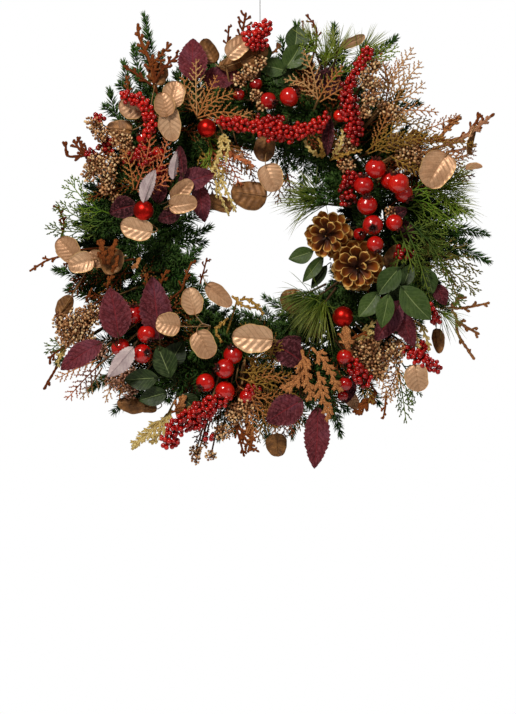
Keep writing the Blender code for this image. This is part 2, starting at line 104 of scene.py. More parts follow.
# ------------------------------------------------------------------ mesh bag
class Bag:
    """Collects vertices, faces, UVs and a tone per vertex, which carries random tone and also painted light and shade,
    and becomes one mesh object.
    """

    def __init__(self):
        self.V, self.UV, self.T, self.F, self.n = [], [], [], [], 0

    def add(self, v, f, mat=0, uv=None, tone_and_shade=0.5):
        v = np.asarray(v, float).reshape(-1, 3)
        self.V.append(v)
        self.UV.append(np.zeros((len(v), 2)) if uv is None else np.asarray(uv, float).reshape(-1, 2))
        self.T.append(np.broadcast_to(np.asarray(tone_and_shade, float), (len(v),)).copy())
        for part in (f if isinstance(f, list) else [f]):
            part = np.asarray(part, int)
            if len(part):
                self.F.append((part + self.n, mat))
        self.n += len(v)

    def make(self, name, mats, body="wreath", replaces=()):
        v = np.concatenate(self.V)
        uv = np.concatenate(self.UV)
        t = np.concatenate(self.T)
        me = bpy.data.meshes.new(name)
        me.vertices.add(len(v))
        me.vertices.foreach_set("co", v.astype(np.float32).ravel())
        idx = np.concatenate([f.ravel() for f, _ in self.F])
        sizes = np.concatenate([np.full(len(f), f.shape[1]) for f, _ in self.F])
        mi = np.concatenate([np.full(len(f), m) for f, m in self.F])
        me.loops.add(len(idx))
        me.loops.foreach_set("vertex_index", idx.astype(np.int32))
        me.polygons.add(len(sizes))
        me.polygons.foreach_set("loop_start", np.concatenate([[0], np.cumsum(sizes)[:-1]]).astype(np.int32))
        me.polygons.foreach_set("material_index", mi.astype(np.int32))
        me.polygons.foreach_set("use_smooth", np.ones(len(sizes), bool))
        me.update(calc_edges=True)
        layer = me.uv_layers.new(name="UVMap")
        layer.data.foreach_set("uv", uv[idx].astype(np.float32).ravel())
        a = me.attributes.new("tone_and_shade", "FLOAT", "POINT")
        a.data.foreach_set("value", t.astype(np.float32))
        me.validate()
        for m in mats:
            me.materials.append(MAT[m])
        o = bpy.data.objects.new(name, me)
        scene.collection.objects.link(o)
        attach(o, body)
        if replaces:
            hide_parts(*([replaces] if isinstance(replaces, str) else replaces))
        return o


# ------------------------------------------------------------------ materials
MAT = {}


def lin(r, g, b):
    def f(c):
        c /= 255
        return c / 12.92 if c <= 0.04045 else ((c + 0.055) / 1.055) ** 2.4
    return (f(r), f(g), f(b), 1.0)


class Mat:
    """A short way to write node materials."""

    def __init__(self, name, rough=0.5, metal=0.0, gloss=0.5, **fixed):
        self.m = bpy.data.materials.new(name)
        self.m.use_nodes = True
        self.nt = self.m.node_tree
        self.b = self.nt.nodes["Principled BSDF"]
        self.b.inputs["Roughness"].default_value = rough
        self.b.inputs["Metallic"].default_value = metal
        self.b.inputs["Specular IOR Level"].default_value = gloss
        for k, v in fixed.items():
            self.b.inputs[k.replace("_", " ")].default_value = v
        MAT[name] = self.m

    def node(self, kind, **sets):
        n = self.nt.nodes.new(kind)
        for k, v in sets.items():
            setattr(n, k, v)
        return n

    def put(self, socket, value):
        if hasattr(value, "is_output"):
            self.nt.links.new(value, socket)
        else:
            socket.default_value = value

    def obj(self):
        return self.node("ShaderNodeTexCoord").outputs["Object"]

    # the per-vertex tone value, which carries random tone and also painted light and shade
    def tone_and_shade(self):
        return self.node("ShaderNodeAttribute", attribute_name="tone_and_shade").outputs["Fac"]

    def uv(self):
        s = self.node("ShaderNodeSeparateXYZ")
        self.put(s.inputs[0], self.node("ShaderNodeUVMap", uv_map="UVMap").outputs[0])
        return s.outputs[0], s.outputs[1]

    def noise(self, scale, detail=2.0, rough=0.5, vec=None, stretch=None):
        n = self.node("ShaderNodeTexNoise")
        n.inputs["Scale"].default_value = scale
        n.inputs["Detail"].default_value = detail
        n.inputs["Roughness"].default_value = rough
        vec = vec if vec is not None else self.obj()
        if stretch:
            mp = self.node("ShaderNodeMapping")
            mp.inputs["Scale"].default_value = stretch
            self.put(mp.inputs["Vector"], vec)
            vec = mp.outputs[0]
        self.put(n.inputs["Vector"], vec)
        return n.outputs["Fac"]

    def voronoi(self, scale, feature="F1"):
        n = self.node("ShaderNodeTexVoronoi", feature=feature)
        n.inputs["Scale"].default_value = scale
        self.put(n.inputs["Vector"], self.obj())
        return n.outputs["Distance"]

    def math(self, op, a, b=0.0, c=0.0, clamp=False):
        n = self.node("ShaderNodeMath", operation=op, use_clamp=clamp)
        self.put(n.inputs[0], a)
        self.put(n.inputs[1], b)
        self.put(n.inputs[2], c)
        return n.outputs[0]

    def ramp(self, fac, stops, mode="LINEAR"):
        n = self.node("ShaderNodeValToRGB")
        n.color_ramp.interpolation = mode
        els = n.color_ramp.elements
        while len(els) < len(stops):
            els.new(0.5)
        for e, (p, c) in zip(els, stops):
            e.position = p
            e.color = c if len(c) == 4 else (*c, 1)
        self.put(n.inputs[0], fac)
        return n.outputs[0]

    def span(self, fac, lo, hi, a=0.0, b=1.0):
        n = self.node("ShaderNodeMapRange")
        self.put(n.inputs[0], fac)
        for i, v in enumerate((lo, hi, a, b)):
            n.inputs[i + 1].default_value = v
        return n.outputs[0]

    def mix(self, fac, a, b, mode="MIX"):
        n = self.node("ShaderNodeMix", data_type="RGBA", blend_type=mode)
        self.put(n.inputs[0], fac)
        self.put(n.inputs[6], a)
        self.put(n.inputs[7], b)
        return n.outputs[2]

    def bump(self, height, strength=0.4, distance=0.0006):
        n = self.node("ShaderNodeBump")
        n.inputs["Strength"].default_value = strength
        n.inputs["Distance"].default_value = distance
        self.put(n.inputs["Height"], height)
        self.put(self.b.inputs["Normal"], n.outputs[0])

    def color(self, c):
        self.put(self.b.inputs["Base Color"], c)

    def rough(self, r):
        self.put(self.b.inputs["Roughness"], r)


def needle_mat(name, dark, mid, light, tip, rough=0.45):
    m = Mat(name, rough, 0.0, 0.22)
    x, y = m.uv()
    c = m.ramp(m.tone_and_shade(), [(0.0, lin(*dark)), (0.5, lin(*mid)), (1.0, lin(*light))])
    c = m.mix(m.span(y, 0.35, 1.0, 0.0, 0.75), c, lin(*tip))
    c = m.mix(m.span(m.noise(900, 2), 0.35, 0.7, 0.0, 0.45), c, lin(*[v * 0.55 for v in dark]))
    m.color(c)
    m.rough(m.span(m.noise(400), 0.3, 0.7, rough - 0.12, rough + 0.15))
    m.bump(m.noise(1500), 0.2, 0.0002)
    return m


needle_mat("fir_needle", (8, 28, 8), (28, 66, 18), (66, 112, 38), (112, 146, 66), 0.42)
# a darker copy of the fir needles for the back layers: painted shade of the wreath's deep interior
needle_mat("fir_needle_painted_shade", (4, 13, 4), (10, 28, 9), (22, 48, 16), (34, 64, 24), 0.55)
needle_mat("pine_needle", (58, 84, 16), (112, 136, 34), (168, 184, 72), (204, 206, 118), 0.4)
needle_mat("pine_needle_dark", (26, 54, 12), (64, 96, 24), (124, 148, 50), (176, 186, 96), 0.4)
needle_mat("cedar_scale", (36, 60, 16), (80, 108, 32), (130, 150, 52), (156, 166, 72), 0.55)
needle_mat("cedar_brown_tip", (58, 74, 22), (108, 118, 40), (150, 128, 58), (172, 118, 70), 0.6)
needle_mat("cedar_bright", (50, 84, 14), (98, 134, 30), (150, 174, 54), (180, 190, 80), 0.5)


def woody(name, a, b, c, rough=0.8, scale=350, bump=0.5, cells=0):
    m = Mat(name, rough, 0.0, 0.25)
    n = m.noise(scale, 3, 0.6)
    col = m.ramp(n, [(0.25, lin(*a)), (0.5, lin(*b)), (0.75, lin(*c))])
    col = m.mix(m.math("MULTIPLY", m.tone_and_shade(), 0.5), col, lin(*c))
    if cells:
        seam = m.span(m.voronoi(cells, "DISTANCE_TO_EDGE"), 0.0, 0.14, 0.6, 0.0)
        col = m.mix(seam, col, lin(*[v * 0.55 for v in a]))
        m.color(col)
        m.bump(m.math("ADD", m.math("MULTIPLY", seam, -1.2), m.noise(scale * 3, 2)), bump, 0.0009)
        return m
    m.color(col)
    m.bump(m.noise(scale * 3, 2), bump, 0.0005)
    return m


woody("stem_bark", (34, 24, 15), (62, 42, 24), (92, 66, 38))
woody("stem_green", (18, 30, 14), (34, 48, 22), (60, 72, 36))
woody("stem_gold", (92, 66, 38), (138, 100, 60), (184, 142, 94), 0.55)
woody("stem_seed", (52, 34, 18), (88, 60, 34), (130, 94, 56), 0.6)
woody("copper_flock", (84, 34, 10), (140, 66, 22), (198, 112, 50), 0.95, 700, 0.9, 560)
woody("copper_dark", (50, 18, 6), (92, 38, 12), (142, 70, 26), 0.95, 700, 0.9)
woody("copper_pink", (146, 82, 50), (200, 130, 90), (240, 186, 146), 0.8, 500, 0.8, 420)
woody("copper_bright", (142, 74, 34), (202, 126, 70), (242, 174, 112), 0.9, 500, 0.8, 420)
woody("copper_fern", (112, 60, 24), (172, 104, 50), (220, 156, 92), 0.7, 500)
woody("fern_champagne", (122, 78, 38), (184, 130, 78), (234, 188, 128), 0.6, 500)
woody("fern_olive_gold", (76, 54, 14), (140, 102, 34), (196, 154, 70), 0.6, 500)
woody("coral_fern", (132, 56, 26), (186, 94, 52), (228, 146, 96), 0.75, 500)
woody("crown_brown", (28, 8, 6), (62, 18, 12), (96, 36, 22), 0.7, 500)


def seed_mat(name, a, b, c, metal):
    m = Mat(name, 0.42, metal)
    x, y = m.uv()
    col = m.ramp(m.tone_and_shade(), [(0.25, lin(*a)), (0.55, lin(*b)), (0.85, lin(*c))])
    col = m.mix(m.span(m.noise(1100), 0.5, 0.7, 0.0, 0.35), col, lin(*a))
    m.color(col)
    m.rough(m.span(m.noise(700), 0.3, 0.7, 0.3, 0.6))
    m.bump(m.noise(1800), 0.4, 0.0003)


seed_mat("seed_champagne", (116, 68, 34), (206, 146, 94), (252, 216, 162), 0.08)
seed_mat("seed_brown", (112, 66, 36), (204, 144, 92), (250, 212, 156), 0.08)
seed_mat("seed_pink", (124, 78, 58), (184, 128, 102), (228, 184, 154), 0.15)


def gold_leaf_mat():
    m = Mat("gold_leaf_top", 0.42, 0.3)
    x, y = m.uv()
    t = m.math("ABSOLUTE", m.math("MULTIPLY_ADD", y, 2.0, -1.0))
    big = m.noise(60, 3, 0.6)
    c = m.ramp(m.math("ADD", m.math("MULTIPLY", m.tone_and_shade(), 0.5), m.math("MULTIPLY", big, 0.5)),
               [(0.15, lin(138, 94, 64)), (0.5, lin(198, 150, 112)), (0.85, lin(238, 198, 160))])
    phase = m.math("FRACT", m.math("MULTIPLY_ADD", m.math("SUBTRACT", x, m.math("MULTIPLY", t, 0.28)), 7.0, 0.5))
    side = m.span(m.math("ABSOLUTE", m.math("SUBTRACT", phase, 0.5)), 0.0, 0.14, 0.42, 0.0)
    c = m.mix(side, c, lin(146, 98, 62))
    rim = m.span(t, 0.9, 0.98, 0.0, 0.85)
    c = m.mix(rim, c, lin(240, 196, 128))
    vein = m.span(t, 0.0, 0.05, 0.5, 0.0)
    c = m.mix(vein, c, lin(150, 104, 66))
    c = m.mix(m.span(m.noise(420, 3), 0.5, 0.75, 0.0, 0.35), c, lin(150, 108, 70))
    m.color(c)
    m.rough(m.span(m.noise(260, 2), 0.3, 0.7, 0.34, 0.56))
    m.bump(m.noise(900, 3), 0.25, 0.0003)
    m = Mat("gold_leaf_under", 0.55, 0.3)
    c = m.ramp(m.noise(120, 4, 0.6), [(0.3, lin(84, 52, 24)), (0.5, lin(128, 84, 42)), (0.72, lin(166, 114, 62))])
    x, y = m.uv()
    t = m.math("ABSOLUTE", m.math("MULTIPLY_ADD", y, 2.0, -1.0))
    c = m.mix(m.span(t, 0.92, 1.0, 0.0, 0.8), c, lin(196, 156, 110))
    m.color(c)
    m.bump(m.noise(700, 3), 0.35, 0.0004)


gold_leaf_mat()


def veins(m, count, slope, width):
    """A mask of the midrib and its side veins from the leaf's own coordinates."""
    x, y = m.uv()
    t = m.math("ABSOLUTE", m.math("MULTIPLY_ADD", y, 2.0, -1.0))
    phase = m.math("FRACT", m.math("MULTIPLY_ADD", m.math("SUBTRACT", x, m.math("MULTIPLY", t, slope)), count, 0.5))
    side = m.span(m.math("ABSOLUTE", m.math("SUBTRACT", phase, 0.5)), 0.0, width, 1.0, 0.0)
    mid = m.span(t, 0.0, 0.07, 1.0, 0.0)
    return mid, side, t


def burgundy_mats():
    m = Mat("burgundy_top", 0.8, 0.0, 0.2, Sheen_Weight=0.06, Sheen_Roughness=0.5)
    m.b.inputs["Sheen Tint"].default_value = lin(214, 150, 160)
    mid, side, t = veins(m, 9.0, 0.22, 0.12)
    x, y = m.uv()
    fine = m.noise(300, 5, 0.75)
    patch = m.noise(60, 3, 0.65)
    base = m.ramp(m.math("ADD", m.math("MULTIPLY", m.tone_and_shade(), 0.55), m.math("MULTIPLY", patch, 0.5)),
                  [(0.24, lin(34, 7, 11)), (0.5, lin(70, 18, 25)), (0.8, lin(120, 44, 52))])
    # lavender patches on the lighter-toned leaves: partly the velvet's frosted bloom, partly a painted sheen
    bloom_and_sheen = m.math("MULTIPLY", m.span(m.noise(34, 2, 0.5), 0.5, 0.66, 0.0, 1.0), m.span(m.tone_and_shade(), 0.3, 0.6, 0.0, 0.42))
    base = m.mix(bloom_and_sheen, base, lin(118, 72, 92))
    base = m.mix(m.span(fine, 0.49, 0.62, 0.0, 0.6), base, lin(140, 76, 84))
    base = m.mix(m.span(fine, 0.46, 0.34, 0.0, 0.62), base, lin(30, 5, 10))
    base = m.mix(m.math("MULTIPLY", side, 0.55), base, lin(46, 10, 18))
    base = m.mix(m.math("MULTIPLY", mid, 0.7), base, lin(140, 40, 48))
    base = m.mix(m.span(t, 0.86, 1.0, 0.0, 0.4), base, lin(146, 84, 92))
    m.color(base)
    m.bump(m.math("ADD", m.math("MULTIPLY", side, -0.7), m.math("ADD", m.math("MULTIPLY", mid, -0.8), m.math("MULTIPLY", fine, 0.8))), 0.7, 0.0008)
    m = Mat("burgundy_under", 0.8, 0.0, 0.25, Sheen_Weight=0.1)
    mid, side, t = veins(m, 9.0, 0.22, 0.12)
    base = m.ramp(m.noise(90, 3), [(0.3, lin(178, 156, 160)), (0.7, lin(222, 204, 202))])
    base = m.mix(m.math("MULTIPLY", mid, 0.5), base, lin(140, 104, 122))
    base = m.mix(m.math("MULTIPLY", side, 0.3), base, lin(146, 118, 134))
    m.color(base)
    m.bump(m.math("ADD", m.math("MULTIPLY", mid, 0.8), m.noise(700)), 0.4, 0.0005)


burgundy_mats()


def green_leaf_mats():
    m = Mat("green_leaf_top", 0.5, 0.0, 0.28)
    mid, side, t = veins(m, 8.0, 0.3, 0.1)
    base = m.ramp(m.math("ADD", m.math("MULTIPLY", m.tone_and_shade(), 0.6), m.math("MULTIPLY", m.noise(60, 2), 0.4)),
                  [(0.15, lin(16, 26, 4)), (0.5, lin(58, 80, 32)), (0.85, lin(94, 116, 50))])
    base = m.mix(m.span(m.noise(420, 4, 0.7), 0.48, 0.62, 0.0, 0.5), base, lin(34, 54, 20))
    base = m.mix(m.span(m.noise(150, 3), 0.5, 0.7, 0.0, 0.3), base, lin(96, 110, 66))
    base = m.mix(m.math("MULTIPLY", side, 0.32), base, lin(112, 136, 78))
    base = m.mix(m.span(t, 0.0, 0.045, 0.85, 0.0), base, lin(158, 172, 112))
    m.color(base)
    m.rough(m.span(m.noise(300), 0.3, 0.7, 0.38, 0.6))
    m.bump(m.math("ADD", m.math("MULTIPLY", side, -0.6), m.math("ADD", m.math("MULTIPLY", mid, -0.8), m.noise(700))), 0.35, 0.0005)
    m = Mat("green_leaf_under", 0.65)
    m.color(m.ramp(m.noise(120, 3), [(0.3, lin(74, 96, 60)), (0.7, lin(104, 124, 84))]))


green_leaf_mats()


def berry_mats():
    m = Mat("berry_large", 0.16, 0.0, Coat_Weight=0.5, Coat_Roughness=0.08)
    x, y = m.uv()
    mott = m.noise(160, 4, 0.65)
    c = m.ramp(m.math("ADD", m.math("MULTIPLY", m.tone_and_shade(), 0.45), m.math("MULTIPLY", mott, 0.6)),
               [(0.22, lin(92, 2, 4)), (0.46, lin(180, 8, 8)), (0.66, lin(218, 26, 12)), (0.88, lin(232, 86, 32))])
    # darker in the pit inside the crown: partly the calyx's own colour, partly painted shade in the hollow
    c = m.mix(m.span(y, 0.04, 0.17, 0.95, 0.0), c, lin(36, 6, 6))
    c = m.mix(m.span(y, 0.9, 1.0, 0.0, 0.7), c, lin(110, 30, 20))
    m.color(c)
    m.rough(m.span(m.noise(300, 2), 0.35, 0.7, 0.12, 0.3))
    m.bump(m.noise(120, 2), 0.12, 0.001)
    m = Mat("berry_small", 0.24, 0.0, Coat_Weight=0.3, Coat_Roughness=0.12)
    x, y = m.uv()
    c = m.ramp(m.tone_and_shade(), [(0.0, lin(84, 2, 3)), (0.45, lin(182, 10, 7)), (1.0, lin(240, 40, 20))])
    c = m.mix(m.span(m.noise(600, 2), 0.45, 0.7, 0.0, 0.4), c, lin(140, 10, 16))
    m.color(c)
    m.bump(m.noise(900), 0.15, 0.0002)
    m = Mat("ball_satin", 0.3, 0.85)
    c = m.ramp(m.noise(220, 3), [(0.3, lin(184, 14, 9)), (0.7, lin(224, 34, 22))])
    m.color(c)
    m.rough(m.span(m.noise(900, 2), 0.3, 0.7, 0.27, 0.4))
    m.bump(m.noise(2400, 2), 0.12, 0.0001)


berry_mats()


def cone_mat():
    m = Mat("cone_scale", 0.6, 0.0, 0.3)
    x, y = m.uv()
    streak = m.noise(1, 4, 0.6, stretch=(700, 700, 90))
    c = m.ramp(x, [(0.0, lin(22, 7, 2)), (0.4, lin(76, 31, 4)), (0.72, lin(132, 64, 12)), (0.87, lin(166, 94, 24)), (0.94, lin(238, 192, 112)), (1.0, lin(248, 212, 138))])
    c = m.mix(m.span(streak, 0.45, 0.75, 0.0, 0.4), c, lin(66, 30, 6))
    t = m.math("ABSOLUTE", m.math("MULTIPLY_ADD", y, 2.0, -1.0))
    rim = m.math("MULTIPLY", m.span(t, 0.76, 0.92, 0.0, 1.0), m.span(x, 0.4, 0.7, 0.0, 1.0))
    c = m.mix(rim, c, lin(240, 194, 112))
    m.color(c)
    m.rough(m.span(m.noise(300), 0.3, 0.7, 0.42, 0.7))
    m.bump(streak, 0.4, 0.0006)


cone_mat()


def gold_glitter(name, a, b, c):
    m = Mat(name, 0.4, 0.55)
    fl = m.voronoi(2200)
    col = m.ramp(m.noise(420, 3), [(0.25, lin(*a)), (0.5, lin(*b)), (0.75, lin(*c))])
    col = m.mix(m.span(fl, 0.0, 0.35, 0.55, 0.0), col, lin(*[min(255, v + 26) for v in c]))
    m.color(col)
    m.rough(m.span(fl, 0.0, 0.8, 0.2, 0.6))
    m.bump(fl, 0.7, 0.0006)


gold_glitter("gold_pale", (176, 140, 66), (228, 198, 118), (250, 236, 176))
gold_glitter("gold_deep", (120, 84, 30), (184, 138, 58), (230, 190, 104))


def wire_mats():
    m = Mat("wire_paint", 0.45, 0.35)
    m.color(m.ramp(m.noise(240, 4, 0.65), [(0.35, lin(20, 34, 20)), (0.62, lin(40, 56, 36)), (0.78, lin(82, 84, 70))]))
    m.rough(m.span(m.noise(500), 0.3, 0.7, 0.35, 0.6))
    m.bump(m.noise(700, 3), 0.25, 0.0003)
    m = Mat("binding_wire", 0.5, 0.4)
    m.color(m.ramp(m.noise(420, 3), [(0.3, lin(40, 28, 16)), (0.7, lin(92, 68, 42))]))
    m.bump(m.noise(900), 0.3, 0.0003)
    m = Mat("nylon", 0.22, 0.0, IOR=1.5)
    m.color(m.ramp(m.noise(300, 2), [(0.3, lin(168, 170, 174)), (0.7, lin(206, 208, 212))]))
    m.rough(m.span(m.noise(800), 0.3, 0.7, 0.16, 0.3))


wire_mats()

for n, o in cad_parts.items():
    which = "wire_paint" if n.startswith(("frame_", "hanger_eye")) else "binding_wire" if n.endswith("_wire") else "nylon" if n.startswith(("line_", "hanging")) else None
    if which:
        for s in o.material_slots:
            s.material = MAT[which]


# ------------------------------------------------------------------ shapes
def catmull(pts, n):
    """n points along a smooth curve through pts, nearly evenly spaced."""
    p = np.asarray(pts, float)
    if len(p) == 2:
        return p[0] + (p[1] - p[0]) * np.linspace(0, 1, n)[:, None]
    q = np.vstack([2 * p[0] - p[1], p, 2 * p[-1] - p[-2]])
    out = []
    for i in range(1, len(q) - 2):
        t = np.linspace(0, 1, 12, endpoint=False)[:, None]
        a, b, c, d = q[i - 1], q[i], q[i + 1], q[i + 2]
        out.append(0.5 * (2 * b + (c - a) * t + (2 * a - 5 * b + 4 * c - d) * t ** 2 + (3 * b - a - 3 * c + d) * t ** 3))
    out = np.vstack(out + [p[-1:]])
    seg = np.concatenate([[0], np.cumsum(np.linalg.norm(np.diff(out, axis=0), axis=1))])
    s = np.linspace(0, seg[-1], n)
    return np.stack([np.interp(s, seg, out[:, k]) for k in range(3)], 1)


def length(p):
    return float(np.linalg.norm(np.diff(p, axis=0), axis=1).sum())


def tangents(p):
    return unit_rows(np.gradient(p, axis=0))


def frames(p, up=None):
    t = tangents(p)
    up = VIEW if up is None else np.asarray(up, float)
    a = np.cross(t, up)
    bad = np.linalg.norm(a, axis=1) < 0.05
    if bad.any():
        a[bad] = np.cross(t[bad], np.array([0.3, 0.1, 0.9]))
    a = unit_rows(a)
    for i in range(1, len(a)):
        if np.dot(a[i], a[i - 1]) < 0:
            a[i] = -a[i]
    return t, a, unit_rows(np.cross(a, t))


def tube(bag, p, r, sides=5, mat=0, tone_and_shade=0.5, cap=True, up=None, flat=1.0, knob=0.0):
    p = np.asarray(p, float)
    n = len(p)
    r = np.broadcast_to(np.asarray(r, float), (n,))
    t, a, b = frames(p, up)
    ang = np.linspace(0, 2 * np.pi, sides, endpoint=False)
    ring = p[:, None, :] + r[:, None, None] * (np.cos(ang)[None, :, None] * a[:, None, :] + flat * np.sin(ang)[None, :, None] * b[:, None, :])
    if knob:
        ring = p[:, None, :] + (ring - p[:, None, :]) * (1 + knob * RNG.normal(size=(n, sides, 1))).clip(0.6, 1.5)
    v = ring.reshape(-1, 3)
    i, j = np.meshgrid(np.arange(n - 1), np.arange(sides), indexing="ij")
    j2 = (j + 1) % sides
    q = np.stack([i * sides + j, i * sides + j2, (i + 1) * sides + j2, (i + 1) * sides + j], -1).reshape(-1, 4)
    uv = np.stack([np.tile(ang / (2 * np.pi), n), np.repeat(np.linspace(0, 1, n), sides)], 1)
    faces = [q]
    if cap:
        v = np.vstack([v, p[0] - t[0] * r[0] * 0.4, p[-1] + t[-1] * r[-1] * 0.8])
        uv = np.vstack([uv, [0.5, 0], [0.5, 1]])
        k = np.arange(sides)
        k2 = (k + 1) % sides
        c0, c1 = n * sides, n * sides + 1
        faces.append(np.vstack([np.stack([np.full(sides, c0), k2, k], 1), np.stack([np.full(sides, c1), (n - 1) * sides + k, (n - 1) * sides + k2], 1)]))
    bag.add(v, faces, mat, uv, tone_and_shade)


def needles(bag, P, D, L, W, mat=0, tone_and_shade=None, wide=0.35, plain=False):
    """Many spindle needles at once: bases P, directions D, lengths L, widths W.  Plain ones are single spikes."""
    P, D = np.asarray(P, float), unit_rows(np.asarray(D, float))
    n = len(P)
    if not n:
        return
    L = np.broadcast_to(np.asarray(L, float), (n,))
    W = np.broadcast_to(np.asarray(W, float), (n,))
    if KEEP_CLEAR:
        out = ~(in_cone_space(P) | in_cone_space(P + D * L[:, None]))
        P, D, L, W = P[out], D[out], L[out], W[out]
        if tone_and_shade is not None and np.ndim(tone_and_shade):
            tone_and_shade = np.asarray(tone_and_shade)[out]
        n = len(P)
        if not n:
            return
    ref = RNG.normal(size=(n, 3))
    S = unit_rows(np.cross(D, ref))
    N = np.cross(S, D)
    if plain:
        v = np.zeros((n, 4, 3))
        for k in range(3):
            a = 2 * math.pi * k / 3
            v[:, k] = P + (math.cos(a) * S + math.sin(a) * N) * (W / 2)[:, None]
        v[:, 3] = P + D * L[:, None]
        f = np.array([[0, 2, 1], [3, 0, 1], [3, 1, 2], [3, 2, 0]])
        uv = np.zeros((n, 4, 2))
        uv[:, :, 0] = RNG.uniform(size=n)[:, None]
        uv[:, 3, 1] = 1
        t = RNG.uniform(size=n) if tone_and_shade is None else np.clip(np.broadcast_to(tone_and_shade, (n,)) + RNG.normal(0, 0.12, n), 0, 1)
        bag.add(v.reshape(-1, 3), (f[None] + 4 * np.arange(n)[:, None, None]).reshape(-1, 3), mat, uv.reshape(-1, 2), np.repeat(t, 4))
        return
    v = np.zeros((n, 5, 3))
    v[:, 0] = P
    for k in range(3):
        a = 2 * math.pi * k / 3
        v[:, 1 + k] = P + D * (L * wide)[:, None] + (math.cos(a) * S + math.sin(a) * N) * (W / 2)[:, None]
    v[:, 4] = P + D * L[:, None]
    f = np.array([[0, 2, 1], [0, 3, 2], [0, 1, 3], [4, 1, 2], [4, 2, 3], [4, 3, 1]])
    faces = (f[None] + 5 * np.arange(n)[:, None, None]).reshape(-1, 3)
    uv = np.zeros((n, 5, 2))
    uv[:, :, 0] = RNG.uniform(size=n)[:, None]
    uv[:, 1:4, 1] = wide
    uv[:, 4, 1] = 1
    t = RNG.uniform(size=n) if tone_and_shade is None else np.clip(np.broadcast_to(tone_and_shade, (n,)) + RNG.normal(0, 0.12, n), 0, 1)
    bag.add(v.reshape(-1, 3), faces, mat, uv.reshape(-1, 2), np.repeat(t, 5))


def long_needles(bag, base, dirs, L, W, droop, mat=0, tone_and_shade=0.5):
    """Long thin pine needles: 3-sided, bending under droop (a vector per needle)."""
    n = len(dirs)
    base = np.broadcast_to(base, (n, 3))
    D = unit_rows(np.asarray(dirs, float))
    L = np.broadcast_to(np.asarray(L, float), (n,))
    S = unit_rows(np.cross(D, RNG.normal(size=(n, 3))))
    N = np.cross(S, D)
    seg = np.array([0, 0.22, 0.48, 0.75, 1.0])
    wid = np.array([0.7, 1.0, 0.95, 0.75, 0.0])
    rings = []
    for s, w in zip(seg, wid):
        c = base + D * (L * s)[:, None] + droop * ((L * s ** 2)[:, None])
        if w == 0:
            rings.append(c[:, None, :])
        else:
            rings.append(np.stack([c + (math.cos(a) * S + math.sin(a) * N) * (W * w / 2) for a in (0, 2.094, 4.189)], 1))
    v = np.concatenate(rings, 1)  # n, 13, 3
    f = []
    for r in range(3):
        for k in range(3):
            k2 = (k + 1) % 3
            a, b, c, d = r * 3 + k, r * 3 + k2, (r + 1) * 3 + k2, (r + 1) * 3 + k
            f += [[a, b, c], [a, c, d]]
    for k in range(3):
        f.append([9 + k, 9 + (k + 1) % 3, 12])
    f = np.array(f)
    uv = np.zeros((n, 13, 2))
    uv[:, :, 0] = RNG.uniform(size=n)[:, None]
    uv[:, :, 1] = np.concatenate([np.repeat(seg[:4], 3), [1.0]])[None]
    t = np.clip(tone_and_shade + RNG.normal(0, 0.2, n), 0, 1)
    if KEEP_CLEAR:
        hit = in_cone_space(v.reshape(-1, 3)).reshape(n, 13).any(1)
        v, uv, t = v[~hit], uv[~hit], t[~hit]
        n = len(v)
        if not n:
            return
    faces = (f[None] + 13 * np.arange(n)[:, None, None]).reshape(-1, 3)
    bag.add(v.reshape(-1, 3), faces, mat, uv.reshape(-1, 2), np.repeat(t, 13))


ICO = {}


def ico(level):
    if level not in ICO:
        import bmesh
        bm = bmesh.new()
        bmesh.ops.create_icosphere(bm, subdivisions=level, radius=1.0)
        bm.verts.ensure_lookup_table()
        ICO[level] = (np.array([v.co[:] for v in bm.verts]), np.array([[v.index for v in f.verts] for f in bm.faces]))
        bm.free()
    return ICO[level]


def balls(bag, C, R, mat=0, tone_and_shade=None, level=2, stretch=None, dirs=None, vary=0.12):
    """Many small spheres; stretch lengthens them along dirs."""
    v0, f0 = ico(level)
    C = np.asarray(C, float).reshape(-1, 3)
    n = len(C)
    if not n:
        return
    R = np.broadcast_to(np.asarray(R, float), (n,))
    v = np.broadcast_to(v0, (n, *v0.shape)).copy()
    if dirs is not None:
        d = unit_rows(np.asarray(dirs, float))
        along = np.einsum("nvk,nk->nv", v, d)
        v = v + (stretch - 1) * along[:, :, None] * d[:, None, :]
    v = v * R[:, None, None] + C[:, None, :]
    faces = (f0[None] + len(v0) * np.arange(n)[:, None, None]).reshape(-1, 3)
    uv = np.stack([v0[:, 0] * 0.5 + 0.5, v0[:, 2] * 0.5 + 0.5], 1)
    t = RNG.uniform(size=n) if tone_and_shade is None else np.clip(np.broadcast_to(tone_and_shade, (n,)) + RNG.normal(0, vary, n), 0, 1)
    bag.add(v.reshape(-1, 3), faces, mat, np.tile(uv, (n, 1)), np.repeat(t, len(v0)))


def leaf_frame(angle, pitch, roll):
    a, p, r = math.radians(angle), math.radians(pitch), math.radians(roll)
    e1 = np.array([math.cos(a), 0, math.sin(a)])
    x = math.cos(p) * e1 + math.sin(p) * VIEW
    n = math.cos(p) * VIEW - math.sin(p) * e1
    y = np.cross(n, x)
    return x, math.cos(r) * y + math.sin(r) * n, -math.sin(r) * y + math.cos(r) * n


